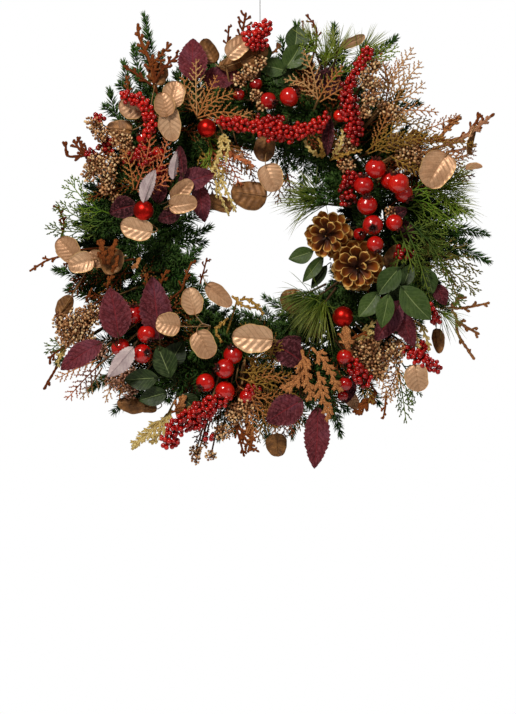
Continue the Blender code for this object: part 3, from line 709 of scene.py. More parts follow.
def leaf(bag, kind, c, angle, L, W, pitch=0.0, roll=0.0, curl=0.15, cup=0.12, under=False, top=0, bottom=1, tone_and_shade=0.5, stem=2, hub=None, wave=0.0):
    """One leaf, centred on layout point c = (u, v, d); L and W in layout units."""
    L, W = L * UNIT, W * UNIT
    x, y, n = leaf_frame(angle, pitch, roll)
    if under:
        y, n = -y, -n
    if kind == "gold":
        ns, nt = 34, 14
    elif kind == "burgundy":
        ns, nt = 56, 10
    else:
        ns, nt = 22, 8
    s = np.linspace(0, 1, ns + 1)
    t = np.linspace(-1, 1, nt + 1)
    if kind == "gold":
        w = np.sqrt(np.clip(1 - (2 * s ** 0.86 - 1) ** 2, 0, 1)) ** 0.92
    elif kind == "burgundy":
        w = np.sin(np.pi * s ** 0.84) ** 0.74
        w[-1] = 0
        saw = (s * 14) % 1.0
        w = w * (1.03 - 0.15 * saw)
    else:
        w = np.sin(np.pi * s ** 0.9) ** 0.85
    ph = rnd(6.28)
    if kind == "gold":
        w = w * (1 + 0.035 * np.sin(9 * s + ph) + 0.02 * np.sin(17 * s + 2 * ph))
    w[0] = max(w[0], 0.02)
    w[-1] = max(w[-1], 0.015)
    S, T = np.meshgrid(s, t, indexing="ij")
    skew = 1 + rnd(-0.09, 0.09) * np.sign(T) * np.sin(np.pi * S)
    Wd = w[:, None] * W / 2 * skew
    X = S * L
    Y = T * Wd + W * rnd(-0.06, 0.06) * np.sin(np.pi * S)
    Z = cup * np.abs(T) ** 1.6 * Wd * 1.6
    Z = Z - curl * L * (S - 0.35) ** 2
    if kind == "gold":
        turns, amp = rnd(5.2, 7.0), rnd(0.010, 0.018)
        pleat = np.cos(2 * np.pi * turns * (S - (0.27 + 0.06 * math.sin(ph)) * np.abs(T) - 0.03) + 0.5 * np.sin(4 * S + ph))
        Z = Z + amp * W * pleat * np.clip(np.abs(T) * 5, 0, 1) * np.clip((1.0 - np.abs(T)) * 6, 0, 1) * np.clip(S * 8, 0, 1) * np.clip((1 - S) * 7, 0, 1)
        Z = Z - 0.05 * W * np.exp(-(T / 0.07) ** 2) * np.clip((1 - S) * 3, 0, 1) + 0.035 * W * np.clip((np.abs(T) - 0.9) * 10, 0, 1)
    elif kind == "burgundy":
        pl = np.cos(2 * np.pi * 9 * (S - 0.22 * np.abs(T)))
        Z = Z - 0.012 * W * pl * np.clip(np.abs(T) * 4, 0, 1) - 0.04 * W * np.exp(-(T / 0.08) ** 2)
    else:
        Z = Z - 0.05 * W * np.exp(-(T / 0.1) ** 2) + 0.01 * W * np.cos(2 * np.pi * 7 * (S - 0.3 * np.abs(T)))
    Z = Z + wave * W * 0.1 * np.sin(5 * S * np.pi + ph) * T + 0.02 * W * np.sin(3.1 * S + ph) * np.cos(2.3 * T + ph) + 0.05 * W * np.sin(2.2 * S + 1.5 * T + ph)
    o = at(*c) - x * L * 0.5
    top_v = o + X[..., None] * x + Y[..., None] * y + Z[..., None] * n
    th = 0.0005
    bot_v = top_v - n * th
    m1 = (nt + 1)
    i, j = np.meshgrid(np.arange(ns), np.arange(nt), indexing="ij")
    q = np.stack([i * m1 + j, (i + 1) * m1 + j, (i + 1) * m1 + j + 1, i * m1 + j + 1], -1).reshape(-1, 4)
    uv = np.stack([S, T * 0.5 + 0.5], -1).reshape(-1, 2)
    up_sign = np.dot(np.cross(x, y), n)
    qt = q if up_sign > 0 else q[:, ::-1]
    bag.add(top_v.reshape(-1, 3), qt, top, uv, tone_and_shade)
    bag.add(bot_v.reshape(-1, 3), qt[:, ::-1], bottom, uv, tone_and_shade)
    # the rim between the two faces
    ids = np.concatenate([np.arange(0, m1), np.arange(1, ns + 1) * m1 + nt, np.arange(nt - 1, -1, -1) + ns * m1, np.arange(ns - 1, 0, -1) * m1])
    tv, bv = top_v.reshape(-1, 3)[ids], bot_v.reshape(-1, 3)[ids]
    k = np.arange(len(ids))
    k2 = (k + 1) % len(ids)
    ruv = uv[ids]
    bag.add(np.vstack([tv, bv]), np.stack([k, k2, k2 + len(ids), k + len(ids)], 1), top, np.vstack([ruv, ruv]), tone_and_shade)
    base = o + x * 0.001
    if hub is not None:
        h = at(*hub)
        mid = (base + h) / 2 - x * L * 0.18
        run = catmull([h, mid, base - x * 0.002, base + x * L * 0.1 - n * 0.0004], 9)
        tube(bag, run, np.linspace(0.0009, 0.0006, 9), 5, stem)
    # the midrib stands proud underneath
    mid_line = (o + (s[:, None] * L) * x + (Z[:, nt // 2][:, None] - 0.0007) * n)[: int(ns * 0.92)]
    tube(bag, mid_line[::3], np.linspace(0.0007, 0.0003, len(mid_line[::3])), 4, bottom, tone_and_shade)
    return base


def stem_to(bag, p, mat, r=0.0011, deg=None, rise=None, tie=None):
    """A pick's stem from the crest ring to the point p (world), forward in the channel and then out."""
    p = np.asarray(p, float)
    rel = p - np.array([0, 0, -HANG])
    a = math.degrees(math.atan2(rel[2], rel[0])) if deg is None else deg
    d = (CREST_Y - p[1]) * 1000
    rise = max(7.0, min(d * 0.55, 46.0)) if rise is None else rise
    tube(bag, catmull([polar(169, a, 3.6), polar(169, a, max(4.6, rise)), polar(169, a, rise) * 0.45 + p * 0.55 + VIEW * 0.002, p], 12), r, 6, mat)


# ------------------------------------------------------------------ fir
def fir_twig(bag, p, nl=0.0135, nw=0.0017, dense=2300, a0=64, a1=34, needle=0, stem=1, tone_and_shade=0.5, r=0.0011, taper=0.6, plain=False):
    ln = length(p)
    n = max(10, int(ln * dense))
    if KEEP_CLEAR and in_cone_space(p).all():
        return
    free = ~in_cone_space(p) if KEEP_CLEAR else np.ones(len(p), bool)
    last_free = len(p) if free.all() else int(np.argmin(free)) if free[0] else len(p)
    if last_free > 2:
        tube(bag, p[:last_free], np.linspace(r, r * 0.5, len(p))[:last_free], 5, stem)
    s = np.sort(RNG.uniform(0.02, 1.0, n))
    seg = np.linspace(0, 1, len(p))
    P = np.stack([np.interp(s, seg, p[:, k]) for k in range(3)], 1)
    t, a, b = frames(p)
    t = unit_rows(np.stack([np.interp(s, seg, t[:, k]) for k in range(3)], 1))
    a = unit_rows(np.stack([np.interp(s, seg, a[:, k]) for k in range(3)], 1))
    b = unit_rows(np.cross(a, t))
    phi = np.arange(n) * 2.39996 + RNG.normal(0, 0.35, n)
    lean = np.radians(a0 + (a1 - a0) * s ** 2 + RNG.normal(0, 7, n))
    out = np.cos(phi)[:, None] * a + np.sin(phi)[:, None] * b
    D = np.cos(lean)[:, None] * t + np.sin(lean)[:, None] * out
    L = nl * (1 - (1 - taper) * np.clip((s - 0.75) * 4, 0, 1)) * RNG.uniform(0.8, 1.15, n)
    # upper and front needles are painted lighter than those at the back: a painted highlight from above and in front
    painted_light = 0.5 * out[:, 2] + 0.5 * (out @ VIEW)
    needles(bag, P + out * r * 0.5, D, L, nw * RNG.uniform(0.8, 1.15, n), needle, np.clip(tone_and_shade + 0.22 * painted_light, 0, 1), plain=plain)
    m = 9
    tip = unit_rows(t[-1] + 0.38 * RNG.normal(size=(m, 3)))
    needles(bag, np.repeat(p[-1:], m, 0), tip, nl * 0.72, nw, needle, tone_and_shade + 0.1, plain=plain)


def fir(bag, pts, sides=4, side_len=0.034, first=0.08, last=0.62, needle=0, stem=1, tone_and_shade=0.5, nl=0.0135, dense=2300, spread=42, world=False, lean=0.12, nw=0.0017, plain=False):
    p = catmull(pts if world else [at(*q) for q in pts], 16)
    fir_twig(bag, p, nl, nw, needle=needle, stem=stem, tone_and_shade=tone_and_shade, dense=dense, plain=plain)
    t, a, b = frames(p)
    for k in range(sides):
        f = first + (last - first) * (k + rnd(-0.25, 0.25)) / max(sides - 1, 1)
        f = min(max(f, 0.03), 0.9)
        i = int(f * 15)
        sgn = 1 if k % 2 else -1
        ang = math.radians(spread + rnd(-9, 9))
        d = math.cos(ang) * t[i] + math.sin(ang) * sgn * a[i] + VIEW * rnd(-0.05, lean + 0.12)
        ln = side_len * (1.05 - 0.55 * f) * rnd(0.85, 1.2)
        q0 = p[i]
        q1 = q0 + unit(d) * ln * 0.5
        q2 = q1 + unit(d + 0.35 * t[i]) * ln * 0.5
        fir_twig(bag, catmull([q0, q1, q2], 8), nl * 0.92, nw, needle=needle, stem=stem, tone_and_shade=tone_and_shade, dense=dense, r=0.0008, plain=plain)


def pine(bag, base, tip, n=46, L=0.055, W=0.0009, spread=0.5, droop=0.1, needle=0, stem=1, tone_and_shade=0.5, along=0.35):
    """A tuft of long needles fanning from the last part of a shoot."""
    b, e = at(*base), at(*tip)
    ax = unit(e - b)
    ln = np.linalg.norm(e - b)
    tube(bag, catmull([b, e], 6), np.linspace(0.0016, 0.0011, 6), 6, stem)
    for k in range(n):
        pass
    s = RNG.uniform(1 - along, 1.0, n)
    P = b + ax * (ln * s)[:, None]
    D = unit_rows(ax * RNG.uniform(0.5, 1.1, n)[:, None] + spread * RNG.normal(size=(n, 3)) * np.array([1, 0.6, 1]))
    for i in range(0, n, 12):
        long_needles(bag, P[i:i + 12], D[i:i + 12], L * RNG.uniform(0.7, 1.1, len(P[i:i + 12])), W, np.array([0, 0, -droop]), needle, tone_and_shade)


# ------------------------------------------------------------------ branched sprays (ferns, cedar, cypress)
def frond(bag, pts, width, step=0.005, ang=48, r=0.0008, leaf_len=0.0034, leaf_w=0.0013, sub=0.0026, mat=0, stem=0, tone_and_shade=0.5, world=False, profile="feather", depth=1, out=0.06, curve=0.3, sub_ang=42, first=0.1, up=None):
    p = catmull(pts if world else [at(*q) for q in pts], 22)
    ln = length(p)
    t, a, b = frames(p, up)
    tube(bag, p, np.linspace(r, r * 0.55, len(p)), 5, stem, tone_and_shade)
    n = max(3, int(ln / step))
    for k in range(n):
        f = first + (1 - first) * (k + 0.5) / n
        i = min(int(f * 21), 21)
        base = p[i] if i >= 21 else p[i] + (p[i + 1] - p[i]) * (f * 21 - i)
        sgn = 1 if k % 2 else -1
        if profile == "feather":
            g = math.sin(math.pi * min(1, (f * 0.93 + 0.07)) ** 0.75) ** 0.7 * 0.9 + 0.1
        else:
            g = (1 - f) ** 0.6 * 0.9 + 0.12
        sl = width * g * rnd(0.8, 1.15)
        an = math.radians(ang + rnd(-7, 7))
        d = math.cos(an) * t[i] + math.sin(an) * sgn * a[i] + b[i] * rnd(-out, out)
        d = unit(d)
        q = catmull([base, base + d * sl * 0.5, base + d * sl * 0.5 + unit(d + curve * t[i]) * sl * 0.5], 6)
        if KEEP_CLEAR and in_cone_space(q).any():
            continue
        if depth > 1 and sl > 0.012:
            frond(bag, q, sl * 0.42, step * 0.8, ang, r * 0.75, leaf_len, leaf_w, sub, mat, stem, tone_and_shade, True, "taper", depth - 1, out, curve, sub_ang, 0.15, up)
            continue
        tube(bag, q, np.linspace(r * 0.85, r * 0.5, len(q)), 4, stem, tone_and_shade)
        m = max(2, int(sl / sub))
        s = (np.arange(m) + 0.6) / m
        P = np.stack([np.interp(s, np.linspace(0, 1, 6), q[:, c]) for c in range(3)], 1)
        td = unit(q[-1] - q[0])
        ad = unit(np.cross(td, VIEW if up is None else up))
        sg = np.where(np.arange(m) % 2, 1.0, -1.0)[:, None]
        la = math.radians(sub_ang)
        D = math.cos(la) * td + math.sin(la) * sg * ad + RNG.normal(0, 0.12, (m, 3))
        needles(bag, P, D, leaf_len * (1.05 - 0.4 * s), leaf_w, mat, tone_and_shade, wide=0.5)
        needles(bag, q[-1:], td[None], leaf_len * 1.1, leaf_w * 1.1, mat, tone_and_shade, wide=0.45)
    needles(bag, p[-1:], t[-1:], leaf_len * 1.4, leaf_w * 1.2, mat, tone_and_shade, wide=0.45)


def antler(bag, pts, r=0.0021, spur=0.013, n=5, mat=0, tone_and_shade=0.5, world=False, fork=0.6, flat=0.8, seed_side=1):
    """A thick flocked twig with short knobbly forks."""
    p = catmull(pts if world else [at(*q) for q in pts], 6)
    m = max(14, int(length(p) / 0.0022))
    p = catmull(pts if world else [at(*q) for q in pts], m)
    rr = np.linspace(r, r * 0.74, m) * (1 + 0.12 * np.sin(np.arange(m) * 1.9 + rnd(6)))
    rr[-2:] *= 1.2
    tube(bag, p, rr, 8, mat, tone_and_shade, flat=flat, knob=0.1)
    t, a, b = frames(p)
    n = int(n * 1.5)
    for k in range(n):
        f = 0.14 + 0.84 * (k + rnd(0.1, 0.9)) / n
        i = min(int(f * (m - 1)), m - 2)
        sgn = seed_side if k % 2 else -seed_side
        an = math.radians(rnd(30, 60))
        d = unit(math.cos(an) * t[i] + math.sin(an) * sgn * a[i] + b[i] * rnd(-0.3, 0.3))
        ln = spur * rnd(0.4, 1.15) * (1.1 - 0.45 * f)
        g = max(5, int(ln / 0.0018))
        q = catmull([p[i], p[i] + d * ln * 0.55, p[i] + d * ln * 0.55 + unit(d + 0.6 * t[i]) * ln * 0.5], g)
        w = r * 0.74 * (1 + 0.12 * np.sin(np.arange(g) * 2.1 + rnd(6)))
        w[-2:] *= 1.18
        tube(bag, q, w, 7, mat, tone_and_shade, flat=flat, knob=0.1)
        for h in range(2):
            if rnd() < fork:
                d2 = unit(d * 0.5 - 0.9 * t[i] * rnd(-0.6, 0.8) + a[i] * rnd(-0.8, 0.8) + b[i] * rnd(-0.3, 0.3))
                j = min(len(q) - 1, 2 + h)
                q2 = catmull([q[j], q[j] + d2 * ln * rnd(0.25, 0.5)], 4)
                tube(bag, q2, r * 0.62 * np.array([1, 0.92, 1.05, 1.0]), 6, mat, tone_and_shade, flat=flat, knob=0.1)


def lobed(bag, pts, w=0.011, r=0.0024, step=0.0075, mat=0, tone_and_shade=0.5, ang=38, flat=0.42, sub=True, world=False):
    """A flattened, scaly cypress tip: a flat rib with blunt lobes, the larger ones lobed again."""
    p = catmull(pts if world else [at(*q) for q in pts], 8)
    m = max(10, int(length(p) / 0.003))
    p = catmull(pts if world else [at(*q) for q in pts], m)
    t, a, b = frames(p)
    tube(bag, p, r * np.linspace(1.0, 0.85, m) * (1 + 0.10 * np.sin(np.arange(m) * 2.0)), 8, mat, tone_and_shade, flat=flat, knob=0.05)
    n = max(3, int(length(p) / step))
    for k in range(n):
        f = 0.1 + 0.88 * (k + 0.5) / n
        i = min(int(f * (m - 1)), m - 2)
        sgn = 1 if k % 2 else -1
        an = math.radians(ang + rnd(-7, 7))
        d = unit(math.cos(an) * t[i] + math.sin(an) * sgn * a[i] + b[i] * rnd(-0.12, 0.12))
        ln = w * rnd(0.8, 1.25) * (1.15 - 0.55 * f)
        g = max(6, int(ln / 0.0016))
        q = catmull([p[i], p[i] + d * ln * 0.55, p[i] + d * ln * 0.55 + unit(d + 0.4 * t[i]) * ln * 0.5], g)
        wid = r * np.interp(np.linspace(0, 1, g), [0, 0.25, 0.65, 0.9, 1], [0.75, 1.0, 0.95, 0.6, 0.22])
        tube(bag, q, wid, 8, mat, tone_and_shade, flat=flat, knob=0.05)
        if sub and ln > 0.007:
            for h in (1, -1):
                j = int(g * (0.35 if h > 0 else 0.55))
                d2 = unit(d + h * 0.75 * np.cross(VIEW, d))
                l2 = ln * rnd(0.32, 0.5)
                q2 = catmull([q[j], q[j] + d2 * l2], 5)
                tube(bag, q2, r * 0.82 * np.array([0.7, 1.0, 0.95, 0.65, 0.22]), 7, mat, tone_and_shade, flat=flat)


# ------------------------------------------------------------------ berries and seeds
def large_berry(bag, c, r, crown=(0, -1, 0.2), mats=(0, 1, 2), hub=None, tone_and_shade=0.5):
    c = at(*c) if len(c) == 3 else c
    r = r * UNIT
    ax = unit(crown)
    e1 = unit(np.cross(ax, [0.31, 0.17, 0.93]))
    e2 = np.cross(ax, e1)
    prof = [(0.0, 0.60), (0.16, 0.63), (0.28, 0.76), (0.34, 0.95), (0.42, 0.90)]
    th0 = math.asin(0.42 / 1.0)
    for k in range(1, 14):
        th = th0 + (math.pi - th0) * k / 13
        prof.append((math.sin(th) * (1.0 + 0.03 * math.sin(2 * th)), math.cos(th) * 0.94))
    m = 24
    ang = np.linspace(0, 2 * np.pi, m, endpoint=False)
    V, U = [], []
    for i, (rad, h) in enumerate(prof):
        wob = 1 + 0.012 * np.cos(5 * ang + i * 0.2)
        V.append(c + r * (h * ax + rad * wob[:, None] * (np.cos(ang)[:, None] * e1 + np.sin(ang)[:, None] * e2)))
        arc = math.atan2(rad, h) / math.pi if i > 3 else 0.02 * i
        U.append(np.stack([ang / (2 * np.pi), np.full(m, arc)], 1))
    n = len(prof)
    i, j = np.meshgrid(np.arange(n - 1), np.arange(m), indexing="ij")
    j2 = (j + 1) % m
    q = np.stack([i * m + j, (i + 1) * m + j, (i + 1) * m + j2, i * m + j2], -1).reshape(-1, 4)
    bag.add(np.vstack(V), q, mats[0], np.vstack(U), tone_and_shade)
    k = 6
    for s in range(k):
        a = 2 * math.pi * s / k + rnd(0.4)
        d = math.cos(a) * e1 + math.sin(a) * e2
        base = c + r * (0.90 * ax + 0.33 * d)
        q = catmull([base, base + r * (0.16 * ax + 0.06 * d), base + r * (0.24 * ax + 0.24 * d)], 5)
        tube(bag, q, r * np.array([0.14, 0.13, 0.10, 0.06, 0.015]), 5, mats[1])
    if hub is not None:
        h = at(*hub)
        tube(bag, catmull([h, (h + c) / 2 - ax * r * 0.5, c - ax * r * 0.8], 7), 0.0010, 5, mats[2])


def berry_cluster(bag, pts, n, rad, r=0.0032, mat=0, stem=1, tone_and_shade=0.5, taper=True, level=2):
    """Small berries packed round a wire that runs through pts (layout), within rad (layout units)."""
    p = catmull([at(*q) for q in pts], 40)
    tube(bag, p, 0.0008, 5, stem)
    t, a, b = frames(p)
    m = n * 10
    s = RNG.uniform(0, 1, m)
    i = np.clip((s * 39).astype(int), 0, 39)
    phi = RNG.uniform(0, 2 * np.pi, m)
    lump = 1 + 0.22 * np.sin(s * 37 + rnd(6)) + 0.16 * np.sin(s * 83 + rnd(6))
    env = np.clip(0.4 + 1.3 * np.sin(np.pi * np.clip(s * 0.9 + 0.08, 0, 1)), 0.35, 1.0) if taper else 1.0
    rr = rad * UNIT * env * lump * RNG.choice([0.35, 0.8, 1.0, 1.12], m, p=[0.15, 0.25, 0.4, 0.2])
    C = p[i] + t[i] * RNG.uniform(-0.002, 0.002, m)[:, None] + rr[:, None] * (np.cos(phi)[:, None] * a[i] + np.sin(phi)[:, None] * b[i] * 0.85)
    # front berries first, and none closer to another than they can sit
    order = np.argsort(C[:, 1] + RNG.normal(0, 0.002, m))
    kept = np.zeros((0, 3))
    who = []
    for k in order:
        if len(kept) == 0 or np.min(np.linalg.norm(kept - C[k], axis=1)) > 1.72 * r:
            kept = np.vstack([kept, C[k]])
            who.append(i[k])
    n = len(kept)
    balls(bag, kept, r * RNG.uniform(0.9, 1.12, n), mat, tone_and_shade, level)
    for c, w in zip(kept, who):
        tube(bag, np.array([p[w], c]), 0.0005, 4, stem, cap=False)


def seed_head(bag, c, r, n=14, hub=None, mat=0, stem=1, tone_and_shade=0.55, bud=0.0016, flatten=0.75):
    """Umbels of small buds filling a ball of radius r (layout units) round c."""
    C = at(*c)
    R = r * UNIT
    h = at(*hub) if hub is not None else C - VIEW * R * 1.3 + np.array([0, 0, -R * 0.3])
    m = n * 60
    Q = C + RNG.normal(size=(m, 3)) * R * np.array([0.58, 0.58 * flatten, 0.58]) + VIEW * R * 0.15
    order = np.argsort(Q[:, 1] + RNG.normal(0, 0.003, m))
    kept = np.zeros((0, 3))
    for k in order:
        if np.linalg.norm((Q[k] - C) / np.array([1, flatten, 1])) > R * 1.12:
            continue
        if len(kept) == 0 or np.min(np.linalg.norm(kept - Q[k], axis=1)) > bud * 2.35:
            kept = np.vstack([kept, Q[k]])
            if len(kept) >= n * 11:
                break
    out = unit_rows(kept - h)
    balls(bag, kept, bud * RNG.uniform(0.75, 1.3, len(kept)), mat, tone_and_shade, 1, 1.55, unit_rows(out + 0.8 * RNG.normal(size=out.shape)), 0.24)
    step = max(1, len(kept) // n)
    for e in kept[::step]:
        near = kept[np.argsort(np.linalg.norm(kept - e, axis=1))[:step + 2]]
        j = near.mean(0) * 0.55 + (h + (near.mean(0) - h) * 0.7) * 0.45
        tube(bag, catmull([h, (h + j) / 2 + RNG.normal(0, 0.0015, 3), j], 6), np.linspace(0.0008, 0.0006, 6), 4, stem, tone_and_shade)
        for q in near:
            tube(bag, np.array([j, q]), 0.00042, 3, stem, tone_and_shade, cap=False)


# ------------------------------------------------------------------ pine cone
def cone_scales(bag, base, tip, R, count=44, mat=0, core=0):
    b, t = at(*base), at(*tip)
    ax = unit(t - b)
    Lc = float(np.linalg.norm(t - b))
    e1 = unit(np.cross(ax, [0.2, 0.1, 0.97]))
    e2 = np.cross(ax, e1)
    cr = 0.0034
    tube(bag, b + ax * np.linspace(0, Lc * 0.80, 8)[:, None], cr * np.array([1.0, 1.3, 1.4, 1.3, 1.1, 0.9, 0.6, 0.3]), 8, core)
    R = R / 1000
    for k in range(count):
        f = (k + 0.5) / count
        phi = k * 2.39996 + rnd(-0.1, 0.1)
        d = math.cos(phi) * e1 + math.sin(phi) * e2
        side = np.cross(ax, d)
        lean = math.radians(106 - 54 * f ** 1.5 + rnd(-7, 7))
        ln = R * float(np.interp(f, [0, 0.15, 0.45, 0.75, 0.92, 1.0], [0.82, 0.98, 1.02, 0.92, 0.74, 0.40])) * rnd(0.93, 1.05)
        wd = R * float(np.interp(f, [0, 0.5, 0.8, 1.0], [0.52, 0.54, 0.48, 0.30])) * rnd(0.9, 1.06)
        root = b + ax * (Lc * (0.10 + 0.66 * f)) + d * cr * 0.6
        dirn = math.sin(lean) * d + math.cos(lean) * ax
        up = unit(-math.cos(lean) * d + math.sin(lean) * ax)
        ns, nt = 11, 8
        S, T = np.meshgrid(np.linspace(0, 1, ns + 1), np.linspace(-1, 1, nt + 1), indexing="ij")
        grow = 0.26 + 0.74 * np.clip(S / 0.72, 0, 1) ** 1.3
        end = np.sqrt(np.clip(1 - np.clip((S - 0.66) / 0.34, 0, 1) ** 2.2, 0.01, 1))
        w = grow * end
        X = S * ln
        Y = T * w * wd * 0.5
        # hollow along the middle, edges and tip turned up towards the cone's tip
        Z = 0.15 * wd * (T ** 2) * np.clip(S * 1.6, 0, 1) + 0.22 * ln * S ** 2.4 - 0.02 * ln * np.sin(math.pi * S)
        rim = np.maximum(np.clip((np.abs(T) - 0.72) / 0.28, 0, 1), np.clip((S - 0.86) / 0.14, 0, 1)) * np.clip((S - 0.3) / 0.4, 0, 1)
        Z = Z + 0.0009 * rim * R / 0.033
        th = 0.0010 + 0.0012 * S + 0.0006 * rim
        wob = 0.0004 * np.sin(7 * S + 3 * T + k)
        top = root + X[..., None] * dirn + Y[..., None] * side + (Z + wob)[..., None] * up
        bot = root + X[..., None] * dirn + (Y * 0.93)[..., None] * side + (Z + wob - th)[..., None] * up
        m1 = nt + 1
        i, j = np.meshgrid(np.arange(ns), np.arange(nt), indexing="ij")
        q = np.stack([i * m1 + j, (i + 1) * m1 + j, (i + 1) * m1 + j + 1, i * m1 + j + 1], -1).reshape(-1, 4)
        uv = np.stack([S, T * 0.5 + 0.5], -1).reshape(-1, 2)
        if np.dot(np.cross(dirn, side), up) < 0:
            q = q[:, ::-1]
        tt = rnd(0.2, 0.9)
        bag.add(top.reshape(-1, 3), q, mat, uv, tt)
        bag.add(bot.reshape(-1, 3), q[:, ::-1], mat, uv, tt)
        ids = np.concatenate([np.arange(0, m1), np.arange(1, ns + 1) * m1 + nt, np.arange(nt - 1, -1, -1) + ns * m1, np.arange(ns - 1, 0, -1) * m1])
        tv, bv = top.reshape(-1, 3)[ids], bot.reshape(-1, 3)[ids]
        kk = np.arange(len(ids))
        k2 = (kk + 1) % len(ids)
        ruv = uv[ids].copy()
        ruv[:, 0] = np.where(ruv[:, 0] > 0.35, 0.97, ruv[:, 0])
        bag.add(np.vstack([tv, bv]), np.stack([kk, k2, k2 + len(ids), kk + len(ids)], 1), mat, np.vstack([ruv, ruv]), tt)


# ------------------------------------------------------------------ camera and hanging line first
cam = bpy.data.cameras.new("camera")
cam.lens = 120.43
cam.sensor_width = 36
cam_o = bpy.data.objects.new("camera", cam)
cam_o.location = ((CU - RU) * UNIT, CREST_Y - SIGHT, -HANG + (RV - CV) * UNIT)
cam_o.rotation_euler = (math.radians(90), 0, 0)
scene.collection.objects.link(cam_o)
scene.camera = cam_o

lo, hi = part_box("hanging_line")
line = bpy.data.curves.new("line", "CURVE")
line.dimensions = "3D"
sp = line.splines.new("POLY")
sp.points.add(19)
for k, p in enumerate(sp.points):
    p.co = (0, 0, lo[2] + (hi[2] - lo[2]) * k / 19, 1)
line.bevel_depth = 0.0006
line.bevel_resolution = 2
line.use_fill_caps = True
line.materials.append(MAT["nylon"])
line_o = bpy.data.objects.new("nylon_line", line)
scene.collection.objects.link(line_o)
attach(line_o, "hanger")
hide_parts("hanging_line")

# ------------------------------------------------------------------ fir: the dark body of the wreath
FIR = ["fir_needle", "stem_green", "fir_needle_painted_shade"]


def spray_from(deg, r0, r1, d0, d1, swing, **kw):
    """A fir spray that starts at ring angle deg and radius r0 and leans by swing degrees."""
    a = math.radians(deg)
    b = polar(r0, deg, d0)
    radial = np.array([math.cos(a), 0, math.sin(a)])
    tang = np.array([-math.sin(a), 0, math.cos(a)])
    sw = math.radians(swing)
    out = 1 if r1 > r0 else -1
    d = unit(math.cos(sw) * radial * out + math.sin(sw) * tang)
    ln = abs(r1 - r0) / 1000 / max(math.cos(sw), 0.45)
    e = b + d * ln + VIEW * (d1 - d0) / 1000
    m = (b + e) / 2 + VIEW * 0.006 + radial * rnd(-0.004, 0.004)
    return [b, m, e]


def reach(deg):
    """How far out the green stands at a ring angle, in millimetres from the ring's centre."""
    a = deg % 360
    pts = [(0, 276), (20, 262), (40, 236), (60, 250), (75, 232), (95, 222), (112, 224), (128, 244), (150, 226), (165, 240), (185, 262), (200, 262), (218, 246), (235, 244), (255, 250), (272, 256), (290, 250), (308, 236), (325, 244), (345, 272), (360, 276)]
    return float(np.interp(a, [p[0] for p in pts], [p[1] for p in pts]))


def inner_reach(deg):
    a = deg % 360
    pts = [(0, 96), (30, 92), (60, 98), (90, 104), (120, 104), (150, 98), (180, 88), (205, 92), (230, 100), (270, 98), (300, 104), (330, 104), (360, 96)]
    return float(np.interp(a, [p[0] for p in pts], [p[1] for p in pts]))


for part, span_ in (("a", (0, 180)), ("b", (180, 360))):
    # the back layers take the darker fir needles, a painted shade of the wreath's deep interior
    back = Bag()
    for k in range(32):
        deg = span_[0] + 180 * (k + rnd(0.2, 0.8)) / 32
        r0 = rnd(164, 180)
        pts = spray_from(deg, r0, reach(deg) - rnd(10, 22), rnd(5, 12), rnd(8, 30), rnd(-30, 30))
        fir(back, pts, 5, 0.034, needle=2, stem=1, tone_and_shade=0.4, dense=1700, world=True, nl=0.0125, nw=0.0028, plain=True)
    for k in range(24):
        deg = span_[0] + 180 * (k + rnd(0.2, 0.8)) / 24
        r0 = rnd(160, 174)
        pts = spray_from(deg, r0, inner_reach(deg) + rnd(12, 24), rnd(6, 14), rnd(10, 30), rnd(-34, 34))
        fir(back, pts, 4, 0.028, needle=2, stem=1, tone_and_shade=0.4, dense=1700, world=True, nl=0.012, nw=0.0028, plain=True)
    back.make("fir_back_layer_" + part, FIR)

    # the mid layers are given a low tone, a painted shade under the front sprays
    mid = Bag()
    for k in range(18):
        deg = span_[0] + 180 * (k + rnd(0.1, 0.9)) / 18
        r0 = rnd(160, 178)
        pts = spray_from(deg, r0, reach(deg) - rnd(14, 34), rnd(20, 34), rnd(34, 56), rnd(-42, 42))
        fir(mid, pts, 5, 0.032, needle=0, stem=1, tone_and_shade=0.30, dense=2100, world=True, nl=0.0118)
    for k in range(14):
        deg = span_[0] + 180 * (k + rnd(0.1, 0.9)) / 14
        r0 = rnd(158, 174)
        pts = spray_from(deg, r0, inner_reach(deg) + rnd(14, 30), rnd(24, 38), rnd(36, 58), rnd(-50, 50))
        fir(mid, pts, 4, 0.028, needle=0, stem=1, tone_and_shade=0.30, dense=2100, world=True, nl=0.0118)
    mid.make("fir_mid_layer_" + part, FIR)

rear = Bag()
for k in range(46):
    deg = 360 * k / 46 + rnd(-2.5, 2.5)
    off = min(((deg - q + 180) % 360 - 180 for q in (152.0, 207.0, -31.0, 31.0)), key=abs)
    if abs(off) < 8:
        continue
    swing = rnd(-35, 35)
    if abs(off) < 20:
        swing = math.copysign(max(abs(swing), 14), off)
    pts = spray_from(deg, 201, rnd(232, 246), -29, rnd(-20, 4), swing)
    fir(rear, pts, 5, 0.030, needle=0, stem=1, tone_and_shade=0.3, dense=1500, world=True, nl=0.013, nw=0.0026, plain=True, lean=0.0)
    if k % 2 and abs(off) > 14:
        pts = spray_from(deg + 3.5, 201, rnd(228, 242), -24, rnd(6, 20), swing * 0.6)
        fir(rear, pts, 5, 0.028, needle=0, stem=1, tone_and_shade=0.34, dense=1500, world=True, nl=0.013, nw=0.0026, plain=True, lean=0.1)
for k in range(26):
    deg = 360 * k / 26 + rnd(-4, 4)
    if abs((deg - 90 + 180) % 360 - 180) < 7:
        continue
    pts = spray_from(deg, 137, rnd(112, 124), -29, rnd(-12, 8), rnd(-50, 50))
    fir(rear, pts, 4, 0.024, needle=0, stem=1, tone_and_shade=0.3, dense=1600, world=True, nl=0.0125, nw=0.0028, plain=True, lean=0.0)
rear.make("fir_rear_layer", FIR)

